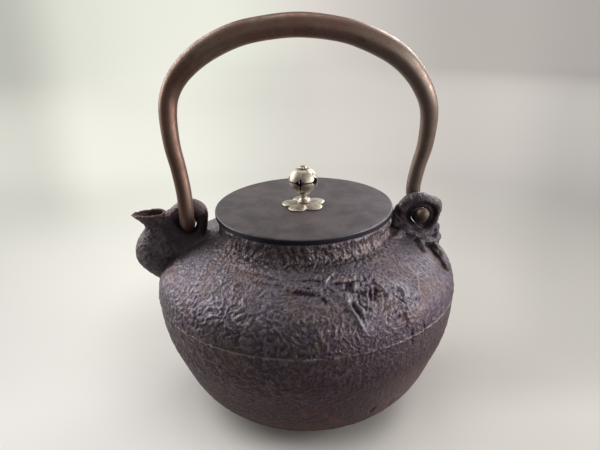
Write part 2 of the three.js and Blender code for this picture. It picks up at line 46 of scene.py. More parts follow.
# Iron body
BASE_RADIUS = 41.0
BODY_RADIUS = 88.2
SHOULDER_HEIGHT = 110.8
NECK_RADIUS = 50.0
NECK_WAIST = 0.7
MOUTH_RADIUS = 46.0
RIM_HEIGHT = 121.7
RIM_ROUNDING = 0.8
BODY_WALL = 3.0
FLOOR_THICKNESS = 3.6
SEAM_HEIGHT = 78.0
SEAM_WIDTH = 1.5
SEAM_RISE = 0.32
OUTLINE_SHARES = [
    [0.535, 0.027], [0.7, 0.108], [0.827, 0.229], [0.908, 0.372], [0.974, 0.519], [1, 0.68],
    [0.993, 0.76], [0.958, 0.828], [0.878, 0.889], [0.76, 0.94], [0.655, 0.978],
]
BODY_COLUMNS = 780
FRONT_SHARE = -0.3
UPPER_ROWS = 112
LOWER_ROWS = 116
WALL_ROWS = 8

# Spout: reach, rise, half length, half width, point and tilt of each ring
SPOUT_DISTANCE = 88.5
SPOUT_HEIGHT = 98.5
BULGE_RADIUS = 13.2
SPOUT_WALL = 2.4
LIP_WALL = 1.5
SPOUT_SHARES = [
    [1.52, -1.33, 0.61, 0.61, 0, 58], [1.02, -0.95, 0.76, 0.76, 0, 54], [0.48, -0.53, 0.92, 0.92, 0, 46],
    [0, 0, 1, 1, 0, 24], [-0.07, 0.49, 0.84, 0.86, 0, 2], [-0.01, 0.91, 0.6, 0.62, 0, 0],
    [0, 1.22, 0.46, 0.45, 0.04, 1], [0, 1.5, 0.6, 0.47, 0.12, 4], [-0.24, 1.82, 0.76, 0.5, 0.24, 3],
]
SPOUT_STEPS = 90
SPOUT_SIDES = 120

# Lugs and the axis of the hooks
EYE_DISTANCE = 68.7
HINGE_HEIGHT = 115.6212
FRONT_EYE_HALF_LENGTH = 4.865
FRONT_EYE_HALF_HEIGHT = 5.565
FRONT_EYE_HEIGHT = 116.921
REAR_EYE_HALF_LENGTH = 7.8
REAR_EYE_HALF_HEIGHT = 7.0
REAR_EYE_HEIGHT = 117.556
FRONT_LUG_SHARES = [
    [2.2, 0.9, 0], [2.68, 0.82, 0], [2.56, 0.74, 0], [2.36, 0.86, 0.05],
    [2.95, 1.15, 0.1], [3.3, 1.3, 0.1], [2.6, 1.25, 0.05], [2.3, 1.05, 0],
]
FRONT_EYE_LUMP = 0.24
FRONT_FOOT_SHARES = [
    [0.11, -1.11, 1.83, 0.86], [0.22, -1.54, 2.32, 1.25], [0.38, -2.08, 2.8, 1.55], [0.43, -3.16, 3.13, 1.78],
]
REAR_LUG_SHARES = [
    [1.6, 0.84, 0.34], [1.87, 0.8, 0.26], [1.62, 0.64, -0.04], [1.86, 0.57, -0.18], [1.96, 0.55, -0.19],
    [1.98, 0.56, -0.1], [1.86, 0.6, 0], [1.72, 0.64, 0], [1.75, 0.78, 0.1], [1.9, 0.96, 0.16],
    [1.9, 1.06, 0.26], [1.62, 0.94, 0.34],
]
REAR_FOOT_SHARES = [
    [0, -1.12, 1.35, 0.66], [-0.1, -1.4, 1.64, 0.95], [-0.22, -1.8, 1.84, 1.2], [-0.28, -2.7, 1.95, 1.45],
]
ROOTS = [
    [[1.34, -0.06, 1.61, 0.33], [1.3, -0.63, 0.77, 0.38], [1.3, -1.51, 0.29, 0.36], [1.46, -2.4, 0.14, 0.33],
     [1.66, -3.09, 0.12, 0.31], [1.77, -3.59, 0.06, 0.28]],
    [[-0.11, -0.37, 0.3, 0.43], [-0.24, -1.26, 0.12, 0.4], [-0.3, -2.14, 0.05, 0.34], [-0.17, -2.96, 0, 0.26]],
    [[-1.24, -0.26, 0.2, 0.5], [-1.63, -1.01, 0, 0.43], [-2.13, -1.83, -0.08, 0.36], [-2.63, -2.51, -0.1, 0.28]],
    [[-1.6, -0.26, 0.43, 0.5], [-1.69, 0.13, 1.28, 0.45], [-1.76, 0.44, 1.6, 0.33]],
]
MAIN_ROOT = [
    [1.3, -0.06, 1.5, 0.4], [1.12, -0.75, 0.62, 0.42], [1.02, -1.55, 0.25, 0.36], [1.12, -2.4, 0.17, 0.4],
    [1.32, -3.1, 0.14, 0.34], [1.5, -3.62, 0.1, 0.4],
]
BASE_RIDGE = [
    [-1.7, -0.7, 0.3, 0.34], [-1.15, -1.2, 0.26, 0.42], [-0.4, -1.42, 0.24, 0.36], [0.3, -1.38, 0.28, 0.44],
    [0.95, -1.1, 0.45, 0.36], [1.35, -0.6, 0.9, 0.4],
]
LID_LUMP = [[-1.98, -0.35, 0.3, 0.5], [-1.92, 0.1, 0.9, 0.46], [-1.8, 0.45, 1.35, 0.36]]
# Waist of the rear eye that hides what is behind it: middle, half sizes, outer reach, half width and shift
WAIST_X = 68.5
WAIST_Z = 116.0
WAIST_HALF_LENGTH = 5.15
WAIST_HALF_HEIGHT = 5.15
WAIST_SHARES = [[1.75, 0.3, 0.08], [1.75, 0.3, 0.08], [1.75, 0.3, 0.08], [1.75, 0.3, 0.08]]
LUG_VOXEL = 0.42
SPOUT_FILLET = 1.6
FRONT_FILLET = 3.0
REAR_FILLET = 1.2
LUG_FILLET = 4.0

# Strokes of the relief at the front: width, height (a groove below zero), height of the bank on the left of
# the stroke, share of ochre, then places as azimuth in degrees and distance from the foot along the outline
STROKES = [
    [1.6, -1.0, 0.6, 0.0, [[-97.4, 132.6], [-94, 132.3], [-89.8, 131.3], [-86.1, 130.4]]],
    [0.7, -0.6, 0.3, 0.0, [[-96.3, 134.7], [-91.9, 135], [-87.5, 134.1]]],
    [0.9, -0.8, 0.8, 0.0, [[-79.3, 136.6], [-75.6, 136.4], [-72.2, 135.8], [-65.7, 135.2]]],
    [0.8, 0.3, 0.0, 1.0, [[-75.6, 138], [-72.2, 137.4], [-65.7, 136.8]]],
    [1.7, -0.7, 0.0, 0.0, [[-71.3, 135], [-72, 132], [-72.7, 129]]],
    [0.6, 0.7, 0.0, 0.0, [[-73.8, 135.6], [-74.7, 132.3]]],
    [0.6, 0.8, 0.0, 0.0, [[-68.7, 134.7], [-69.7, 131.3], [-70.8, 128.7]]],
    [1.3, -0.6, 0.0, 0.0, [[-69.7, 128.7], [-68.1, 127.7], [-66.4, 127]]],
    [0.6, 0.7, 0.0, 0.0, [[-65.6, 127.3], [-66.6, 124.6], [-66.9, 121.7]]],
    [0.9, -0.8, 0.0, 0.0, [[-63.3, 128.7], [-64.8, 125.3], [-65.8, 122]]],
    [0.6, 0.6, 0.0, 0.0, [[-62.8, 127.7], [-64.9, 122.7]]],
    [0.9, -0.8, 0.0, 0.0, [[-61.3, 128.3], [-62.9, 124.6], [-64.6, 120.9]]],
    [0.9, 1.2, 0.4, 0.0, [[-74.1, 129], [-75.1, 124], [-74.4, 119.1], [-73.6, 115.2], [-72.1, 108.6]]],
    [1.2, -0.9, 0.0, 0.0, [[-73, 124], [-72.5, 118.5], [-71.3, 113.7]]],
    [0.8, 0.8, 0.0, 0.0, [[-72.3, 123.6], [-71.7, 120.6], [-69.8, 118.3]]],
    [0.7, 0.7, 0.4, 0.0, [[-55.3, 126.6], [-52, 125.3], [-51, 121.7], [-51.8, 117.4]]],
    [0.8, 0.9, 0.0, 0.0, [[-57.9, 123], [-55.8, 119.4], [-54, 114.7], [-53, 110.9]]],
    [0.8, -0.7, 0.0, 0.0, [[-56.4, 122.6], [-54.6, 118.6], [-52.8, 114.2]]],
    [0.8, 0.8, 0.0, 0.0, [[-77.3, 142.3], [-79.6, 140.2], [-81.9, 137.1]]],
    [0.9, -0.8, 0.0, 0.0, [[-84.7, 128.3], [-82.7, 124.9]]],
    [0.8, -0.35, 0.4, 0.2, [[-128.7, 141.5], [-120.1, 141.5], [-113.4, 141.5], [-107.8, 140.4], [-101.3, 138.8]]],
    [0.6, 0.6, 0.0, 0.0, [[-126.9, 110.7], [-124.3, 112.4], [-121.2, 113.1]]],
    [0.6, 0.7, 0.0, 0.0, [[-115.5, 113.9], [-112.6, 117.7]]],
    [0.6, 0.7, 0.0, 0.0, [[-111, 111.6], [-109.8, 116.3]]],
    [0.6, 0.6, 0.0, 0.0, [[-122.1, 127.7], [-123.1, 131.3], [-121, 133.8]]],
    [0.6, 0.7, 0.0, 0.0, [[-116.5, 126.6], [-114.1, 120.9], [-115.5, 118]]],
    [0.6, 0.6, 0.0, 0.0, [[-129.1, 133.5], [-127.6, 131.7], [-129.1, 129.9], [-130.6, 131.7], [-129.1, 133.5]]],
    [0.9, -1.2, 0.0, 0.0, [[-53.6, 40.8], [-51.9, 47]]],
    [0.9, -1.2, 0.0, 0.0, [[-63.8, 42.7], [-62.8, 48.9]]],
    [0.8, -0.3, 0.2, 0.0, [[-115.8, 135.9], [-108, 136.2], [-100.4, 135.9]]],
    [0.8, -0.6, 0.3, 0.0, [[-93.3, 139.3], [-87.6, 139.6], [-83.1, 137.9]]],
    [0.9, 0.6, 0.3, 0.0, [[-59.3, 131], [-58.1, 125.6], [-58.3, 119.4]]],
    [0.7, 0.3, 0.0, 0.0, [[-41, 137.4], [-37.1, 131.3], [-39, 124.3], [-43.9, 117.7], [-50.3, 115.5]]],
    [0.8, -0.7, 0.0, 0.0, [[-53.4, 100.7], [-53, 91.6]]],
    [0.7, -0.7, 0.0, 0.0, [[-47.2, 101.3], [-46.9, 95.2]]],
    [0.7, -0.7, 0.0, 0.0, [[-58.4, 109.8], [-55.8, 109.5], [-54.7, 105.8], [-56.1, 102.2]]],
]
# Spread of a bank beside its stroke
BANK_SPREAD = 3.5
# Broken patches of the skin: azimuth and distance from the foot of the middle, half sizes of the same, share
RUBBLE = [
    [-66, 127, 17, 16, 0.75], [-90, 133, 14, 8, 0.6], [-55, 115, 12, 12, 0.6], [-78, 141, 16, 7, 0.6],
    [-140, 30, 75, 17, 0.5], [-30, 30, 75, 17, 0.5], [90, 30, 75, 17, 0.5], [62, 128, 24, 16, 0.9], [140, 118, 26, 14, 0.7], [100, 134, 20, 8, 0.5],
]

# Bail handle: half width and rise at the rear, the same at the spout, rod radius and sideways offset
HANDLE_RISE = 110.2
GRIP_RADIUS = 6.5
HOOK_OFFSET = 11.0
HANDLE_SHARES = [
    [0, 1, 0, 1, 1, 0], [0.31, 0.974, 0.31, 0.986, 0.985, 0], [0.528, 0.929, 0.534, 0.953, 1.01, 0],
    [0.756, 0.85, 0.767, 0.882, 0.99, 0], [0.908, 0.752, 0.944, 0.788, 0.9, 0.02],
    [1.006, 0.642, 1.038, 0.693, 0.82, 0.1], [1.045, 0.538, 1.064, 0.594, 0.77, 0.3],
    [1.035, 0.386, 1.049, 0.453, 0.71, 0.58], [0.994, 0.262, 1.009, 0.33, 0.67, 0.82],
    [0.965, 0.155, 0.982, 0.21, 0.66, 0.97], [0.965, 0.088, 0.978, 0.1, 0.65, 1],
    [0.975, 0.034, 0.987, 0.034, 0.63, 0.76], [0.982, 0.007, 0.994, 0.007, 0.62, 0.36],
    [0.986, 0, 0.998, 0, 0.61, 0], [0.991, 0.01, 1.002, 0.01, 0.6, -0.4], [0.999, 0.04, 1.01, 0.04, 0.56, -0.76],
]

# Lid
LID_RADIUS = 52.0
LID_TOP = 125.3
FLANGE_OUTER = 45.3
FLANGE_INNER = 43.9
FLANGE_DEPTH = 7.2
BORE_RADIUS = 1.3

# Knob
PETALS = 5
PETAL_PHASE = math.pi / PETALS
WASHER_RADIUS = 12.95
WASHER_TURN = math.radians(-10)
WASHER_THICKNESS = 1.6
WASHER_TOP = LID_TOP + WASHER_THICKNESS
COLLAR_FOOT_RADIUS = 3.6
BUD_RADIUS = 8.5
BUD_TURN = math.radians(4)
BUD_MIDDLE = 140.1
BUD_CROWN_HEIGHT = 7.6
BUD_CUP_HEIGHT = 6.9
BUD_SEAM = BUD_MIDDLE + 0.5
COLLAR_TOP = BUD_MIDDLE - BUD_CUP_HEIGHT - 0.05
BUD_WALL = 0.9
BUD_TOP = BUD_MIDDLE + BUD_CROWN_HEIGHT
ROSETTE_BASE = BUD_TOP - 0.5
ROSETTE_RADIUS = 2.5
ROSETTE_HEIGHT = 1.3

# Glow of the paper near the kettle, far behind it, and the share that is left of it on the shaded right

# Lamps: direction from the kettle and power in watts, each at the same distance and of the same size
LAMP_DISTANCE = 1.3
LAMP_SIZE = 0.55
LAMPS = {
    "left_low": [-0.9, 0.3, 0.2, 5.6],
    "left_window": [-0.85, 0.45, 0.4, 6.5],
    "left_high": [-0.6, 0.6, 0.6, 5.5],
    "right_low": [0.95, -0.1, 0.2, 15],
    "right_front": [0.7, -0.7, 0.05, 5],
    "right_high": [0.6, 0.6, 0.6, 5],
    "right_back": [0.5, 0.85, 0.35, 7.3],
    "top": [0, 0.3, 1, 3],
}
ROOM_LIGHT = 0.29


def colour(red, green, blue):
    """A screen colour of 0 to 255 as the linear colour that a shader takes."""
    def linear(value):
        share = value / 255
        return share / 12.92 if share <= 0.04045 else ((share + 0.055) / 1.055) ** 2.4
    return (linear(red), linear(green), linear(blue), 1.0)


def smooth(low, high, value):
    """0 below low, 1 above high and a smooth step between."""
    share = np.clip((value - low) / (high - low), 0, 1)
    return share * share * (3 - 2 * share)


def between(rows, place, loops=False):
    """Values between the rows of a table, on smooth curves, at places from 0 to 1."""
    rows = np.asarray(rows, float)
    count = len(rows)
    run = np.atleast_1d(place) * (count if loops else count - 1)
    start = np.minimum(np.floor(run).astype(int), count - 1 if loops else count - 2)
    part = (run - start)[:, None]

    def pick(index):
        return rows[index % count] if loops else rows[np.clip(index, 0, count - 1)]

    before, here, there, after = (pick(start + step) for step in (-1, 0, 1, 2))
    slope_in = (there - before) / 2
    slope_out = (after - here) / 2
    square = part * part
    cube = square * part
    return (here + slope_in * (cube - 2 * square + part) + slope_out * (cube - square)
            + (there - here) * (3 * square - 2 * cube))


def spaced(line, count):
    """A line of points laid anew with equal steps along it."""
    line = np.asarray(line, float)
    steps = np.linalg.norm(np.diff(line, axis=0), axis=1)
    run = np.concatenate([[0], np.cumsum(steps)])
    places = np.linspace(0, run[-1], count)
    return np.stack([np.interp(places, run, column) for column in line.T], 1)


def eased(line, rounds):
    """A line with its corners eased and its ends kept."""
    line = line.copy()
    for _ in range(rounds):
        line[1:-1] = (line[:-2] + 2 * line[1:-1] + line[2:]) / 4
    return line


def sideways(line, distance):
    """A line moved to its right, which is outwards on an outline that runs upwards."""
    along = np.gradient(line, axis=0)
    along /= np.linalg.norm(along, axis=1)[:, None]
    return line + distance * np.stack([along[:, 1], -along[:, 0]], 1)


def ring_faces(rings, sides, loops):
    """Four-cornered faces of a skin through rings of equally many points."""
    spans = rings if loops else rings - 1
    i, j = np.meshgrid(np.arange(spans), np.arange(sides), indexing="ij")
    here, there, k = i * sides, ((i + 1) % rings) * sides, (j + 1) % sides
    return np.stack([here + j, here + k, there + k, there + j], -1).reshape(-1, 4).tolist()


def skin(rings, loops=False):
    """Points and faces of a closed skin through an array of rings."""
    count, sides, _ = rings.shape
    points = rings.reshape(-1, 3)
    faces = ring_faces(count, sides, loops)
    if not loops:
        for first, over in ((0, True), ((count - 1) * sides, False)):
            points = np.vstack([points, points[first:first + sides].mean(0)])
            for j in range(sides):
                pair = (first + j, first + (j + 1) % sides)
                faces.append([pair[over], pair[1 - over], len(points) - 1])
    return points, faces


def turned(profile, sides, front=0.0):
    """Rings of a profile of radius and height turned about the axis, denser at the front by a share."""
    angles = np.linspace(0, 2 * math.pi, sides, endpoint=False)
    angles = angles + front * np.cos(angles)
    profile = np.asarray(profile, float)
    radius, height = profile[:, 0][:, None], profile[:, 1][:, None]
    return np.stack([radius * np.cos(angles), radius * np.sin(angles), height + 0 * angles], -1)


def mesh_of(name, points, faces, **layers):
    """A mesh in metres, with a value or a direction on each point for each named layer."""
    mesh = bpy.data.meshes.new(name)
    mesh.from_pydata((np.asarray(points) * MM).tolist(), [], faces)
    for layer, values in layers.items():
        add_layer(mesh, layer, values)
    mesh.update()
    return mesh


def add_layer(mesh, layer, values):
    kind, field = ("FLOAT_VECTOR", "vector") if values.ndim == 2 else ("FLOAT", "value")
    made = mesh.attributes.new(layer, kind, "POINT")
    made.data.foreach_set(field, np.ascontiguousarray(values, np.float32).ravel())


def points_of(mesh):
    flat = np.empty(len(mesh.vertices) * 3, np.float32)
    mesh.vertices.foreach_get("co", flat)
    return flat.reshape(-1, 3).astype(float) / MM


def normals_of(mesh):
    flat = np.empty(len(mesh.vertices) * 3, np.float32)
    mesh.vertices.foreach_get("normal", flat)
    return flat.reshape(-1, 3).astype(float)


def put_points(mesh, points):
    mesh.vertices.foreach_set("co", np.ascontiguousarray(points * MM, np.float32).ravel())
    mesh.update()


def placed(name, mesh):
    thing = bpy.data.objects.new(name, mesh)
    bpy.context.scene.collection.objects.link(thing)
    return thing


def settled(thing):
    """The plain mesh that an object's modifiers make, after which the object is gone."""
    graph = bpy.context.evaluated_depsgraph_get()
    mesh = bpy.data.meshes.new_from_object(
        thing.evaluated_get(graph), preserve_all_data_layers=True, depsgraph=graph)
    bpy.data.objects.remove(thing)
    return mesh


def grown(mesh, tree, **sizes):
    """The mesh that a node tree makes of a base mesh, with named sizes set."""
    thing = placed("base", mesh)
    modifier = thing.modifiers.new("tree", "NODES")
    modifier.node_group = tree
    for item in tree.interface.items_tree:
        if item.in_out == "INPUT" and item.name.replace(" ", "_") in sizes:
            modifier[item.identifier] = sizes[item.name.replace(" ", "_")]
    return settled(thing)


def cut(mesh, tool):
    """A mesh with another closed mesh taken away."""
    thing = placed("whole", mesh)
    blade = placed("blade", tool)
    modifier = thing.modifiers.new("cut", "BOOLEAN")
    modifier.operation = "DIFFERENCE"
    modifier.solver = "MANIFOLD"
    modifier.object = blade
    made = settled(thing)
    bpy.data.objects.remove(blade)
    return made


class Sheet:
    """Short calls that add nodes to a tree."""

    def __init__(self, tree):
        self.tree = tree

    def add(self, kind, inputs=None, **settings):
        node = self.tree.nodes.new(kind)
        for name, value in settings.items():
            setattr(node, name, value)
        for key, value in (inputs or {}).items():
            if isinstance(value, bpy.types.NodeSocket):
                self.tree.links.new(value, node.inputs[key])
            else:
                node.inputs[key].default_value = value
        return node

    def math(self, operation, *values, clamp=False):
        inputs = dict(enumerate(values))
        return self.add("ShaderNodeMath", inputs, operation=operation, use_clamp=clamp).outputs[0]

    def vector(self, operation, *values):
        inputs = dict(enumerate(values))
        if operation == "SCALE":
            inputs = {0: values[0], "Scale": values[1]}
        return self.add("ShaderNodeVectorMath", inputs, operation=operation).outputs[0]

    def noise(self, place, scale, detail=0.0, output=0, **more):
        inputs = {"Vector": place, "Scale": scale, "Detail": detail}
        inputs.update({name.capitalize(): value for name, value in more.items()})
        return self.add("ShaderNodeTexNoise", inputs).outputs[output]

    def step(self, value, low, high, start=0.0, end=1.0):
        inputs = {"Value": value, "From Min": low, "From Max": high, "To Min": start, "To Max": end}
        return self.add("ShaderNodeMapRange", inputs, interpolation_type="SMOOTHSTEP").outputs[0]

    def blend(self, share, first, second):
        """A colour between two, by a share from 0 to 1."""
        inputs = {0: share, 6: first, 7: second}
        return self.add("ShaderNodeMix", inputs, data_type="RGBA").outputs[2]

    def line(self, noise, level, width):
        """Rounded ridges along the places where a noise crosses a level."""
        off = self.math("DIVIDE", self.math("SUBTRACT", noise, level), width)
        return self.math("SUBTRACT", 1.0, self.math("MULTIPLY", off, off), clamp=True)


def geometry_tree(name, sizes):
    """A geometry tree with a mesh and a material input and named sizes, and the sockets of each."""
    tree = bpy.data.node_groups.new(name, "GeometryNodeTree")
    tree.interface.new_socket("Geometry", in_out="INPUT", socket_type="NodeSocketGeometry")
    tree.interface.new_socket("Material", in_out="INPUT", socket_type="NodeSocketMaterial")
    for size, value in sizes.items():
        kind = "NodeSocketInt" if isinstance(value, int) else "NodeSocketFloat"
        tree.interface.new_socket(size, in_out="INPUT", socket_type=kind).default_value = value
    tree.interface.new_socket("Geometry", in_out="OUTPUT", socket_type="NodeSocketGeometry")
    sheet = Sheet(tree)
    given = tree.nodes.new("NodeGroupInput").outputs
    return sheet, given


def finish_tree(sheet, given, geometry):
    """Ends a geometry tree with its copies made real and its material set."""
    real = sheet.add("GeometryNodeRealizeInstances", {0: geometry}).outputs[0]
    dressed = sheet.add("GeometryNodeSetMaterial", {"Geometry": real, "Material": given["Material"]})
    end = sheet.tree.nodes.new("NodeGroupOutput")
    sheet.tree.links.new(dressed.outputs[0], end.inputs[0])
    return sheet.tree


def named(sheet, layer, kind="FLOAT"):
    node = sheet.add("GeometryNodeInputNamedAttribute", {"Name": layer}, data_type=kind)
    return next(output for output in node.outputs if output.enabled and output.name == "Attribute")


def stored(sheet, geometry, layer, value):
    node = sheet.add("GeometryNodeStoreNamedAttribute", data_type="FLOAT", domain="POINT")
    sheet.tree.links.new(geometry, node.inputs["Geometry"])
    node.inputs["Name"].default_value = layer
    sheet.tree.links.new(value, next(s for s in node.inputs if s.enabled and s.name == "Value"))
    return node.outputs[0]


def skin_tree():
    """Worm-like wrinkles, strokes, rubble and unevenness of the cast skin, raised along the layer outward."""
    sheet, given = geometry_tree("Cast skin", {
        "Wrinkle depth": 0.46, "Wrinkle spacing": 4.8, "Wrinkle width": 0.095,
        "Fine depth": 0.2, "Fine spacing": 2.7, "Stroke depth": 0.75, "Stroke spacing": 2.4,
        "Rubble depth": 0.9, "Rubble spacing": 3.4, "Lump depth": 0.35, "Lump spacing": 15.0,
        "Grain depth": 0.22, "Grain spacing": 1.5,
    })
    place = sheet.vector("SCALE", sheet.add("GeometryNodeInputPosition").outputs[0], 1 / MM)

    def scaled(spacing):
        return sheet.vector("SCALE", place, sheet.math("DIVIDE", 1.0, given[spacing]))

    def share(value, layer, depth):
        return sheet.math("MULTIPLY", sheet.math("MULTIPLY", value, named(sheet, layer)), given[depth])

    def bent(spot, amount):
        bend = sheet.vector("SUBTRACT", sheet.noise(spot, 0.8, 1.0, output=1), (0.5, 0.5, 0.5))
        return sheet.vector("ADD", spot, sheet.vector("SCALE", bend, amount))

    rough = scaled("Wrinkle spacing")
    curled = bent(rough, 1.6)
    first = sheet.line(sheet.noise(curled, 1.0), 0.5, given["Wrinkle width"])
    second = sheet.line(sheet.noise(sheet.vector("ADD", curled, (31.7, 12.9, 5.3)), 1.25), 0.6,
                        given["Wrinkle width"])
    parting = sheet.step(sheet.noise(sheet.vector("ADD", rough, (9.1, 3.3, 71.7)), 0.9), 0.38, 0.56)
    worms = sheet.math("MAXIMUM", sheet.math("MULTIPLY", first, parting),
                       sheet.math("MULTIPLY", second, sheet.math("SUBTRACT", 1.15, parting, clamp=True)))
    small = bent(scaled("Fine spacing"), 0.9)
    fine = sheet.math("MULTIPLY", sheet.line(sheet.noise(small, 1.0), 0.5, 0.13),
                      sheet.math("SUBTRACT", 1.0, sheet.math("MULTIPLY", named(sheet, "wrinkle"), 0.6)))
    broken = bent(scaled("Rubble spacing"), 1.2)
    chips = sheet.math("ABSOLUTE", sheet.math("SUBTRACT", sheet.noise(broken, 1.0, 2.0), 0.5))
    rubble = sheet.math("SUBTRACT", 0.5, sheet.step(chips, 0.0, 0.16))
    tall = sheet.vector("MULTIPLY", bent(scaled("Stroke spacing"), 0.7), (1.0, 1.0, 0.42))
    strokes = sheet.step(sheet.noise(tall, 1.0, 1.5), 0.36, 0.64)
    lumps = sheet.math("SUBTRACT", sheet.noise(scaled("Lump spacing"), 1.0, 1.0), 0.5)
    grain = sheet.math("SUBTRACT", sheet.noise(scaled("Grain spacing"), 1.0, 1.0), 0.5)
    relief = share(worms, "wrinkle", "Wrinkle depth")
    for value, layer, depth in ((fine, "skin", "Fine depth"), (strokes, "stroke", "Stroke depth"),
                                (rubble, "rubble", "Rubble depth"), (grain, "skin", "Grain depth")):
        relief = sheet.math("ADD", relief, share(value, layer, depth))
    relief = sheet.math("ADD", relief, named(sheet, "carving"))
    offset = sheet.math("ADD", relief, share(lumps, "skin", "Lump depth"))
    move = sheet.vector("SCALE", named(sheet, "outward", "FLOAT_VECTOR"), sheet.math("MULTIPLY", offset, MM))
    moved = sheet.add("GeometryNodeSetPosition", {"Geometry": given["Geometry"], "Offset": move}).outputs[0]
    return finish_tree(sheet, given, stored(sheet, moved, "relief", relief))


def bail_tree():
    """A rod along a line, whose radius is the layer named thickness, with shallow dents."""
    sheet, given = geometry_tree("Bail rod", {"Sides": 64, "Dent depth": 0.09, "Dent spacing": 9.0})
    path = sheet.add("GeometryNodeMeshToCurve", {"Mesh": given["Geometry"]}).outputs[0]
    circle = sheet.add("GeometryNodeCurvePrimitiveCircle", {"Resolution": given["Sides"], "Radius": 1.0})
    rod = sheet.add("GeometryNodeCurveToMesh", {
        "Curve": path, "Profile Curve": circle.outputs[0], "Scale": named(sheet, "thickness"),
        "Fill Caps": True}).outputs[0]
    place = sheet.vector("SCALE", sheet.add("GeometryNodeInputPosition").outputs[0], 1 / MM)
    dents = sheet.noise(sheet.vector("SCALE", place, sheet.math("DIVIDE", 1.0, given["Dent spacing"])), 1.0, 2.0)
    depth = sheet.math("MULTIPLY", sheet.math("SUBTRACT", dents, 0.5), given["Dent depth"])
    normal = sheet.add("GeometryNodeInputNormal").outputs[0]
    move = sheet.vector("SCALE", normal, sheet.math("MULTIPLY", depth, MM))
    dented = sheet.add("GeometryNodeSetPosition", {"Geometry": rod, "Offset": move}).outputs[0]
    smoothed = sheet.add("GeometryNodeSetShadeSmooth", {"Geometry": dented}).outputs[0]
    return finish_tree(sheet, given, smoothed)


def petal_tree():
    """One petal's share of a round piece, repeated round the axis and joined."""
    sheet, given = geometry_tree("Petals round the axis", {"Petals": PETALS, "Join distance": 0.002})
    ring = sheet.add("GeometryNodeMeshLine", {"Count": given["Petals"], "Offset": (0.0, 0.0, 0.0)}).outputs[0]
    index = sheet.add("GeometryNodeInputIndex").outputs[0]
    share = sheet.math("DIVIDE", index, given["Petals"])
    angle = sheet.math("MULTIPLY", share, 2 * math.pi)
    turn = sheet.add("ShaderNodeCombineXYZ", {"Z": angle}).outputs[0]
    copies = sheet.add("GeometryNodeInstanceOnPoints", {
        "Points": ring, "Instance": given["Geometry"], "Rotation": turn}).outputs[0]
    real = sheet.add("GeometryNodeRealizeInstances", {0: copies}).outputs[0]
    gap = sheet.math("MULTIPLY", given["Join distance"], MM)
    joined = sheet.add("GeometryNodeMergeByDistance", {"Geometry": real, "Distance": gap}).outputs[0]
    return finish_tree(sheet, given, joined)


def material(name):
    """A new material, its sheet, its shader and its place in millimetres."""
    made = bpy.data.materials.new(name)
    made.use_nodes = True
    sheet = Sheet(made.node_tree)
    shader = next(node for node in made.node_tree.nodes if node.type == "BSDF_PRINCIPLED")
    where = sheet.add("ShaderNodeTexCoord").outputs["Object"]
    return made, sheet, shader, sheet.vector("SCALE", where, 1 / MM)


def bumped(sheet, shader, height, depth):
    """Gives a shader a bump of a height from 0 to 1 that stands for a depth in millimetres."""
    bump = sheet.add("ShaderNodeBump", {"Strength": 1.0, "Distance": depth * MM, "Height": height})
    sheet.tree.links.new(bump.outputs[0], shader.inputs["Normal"])


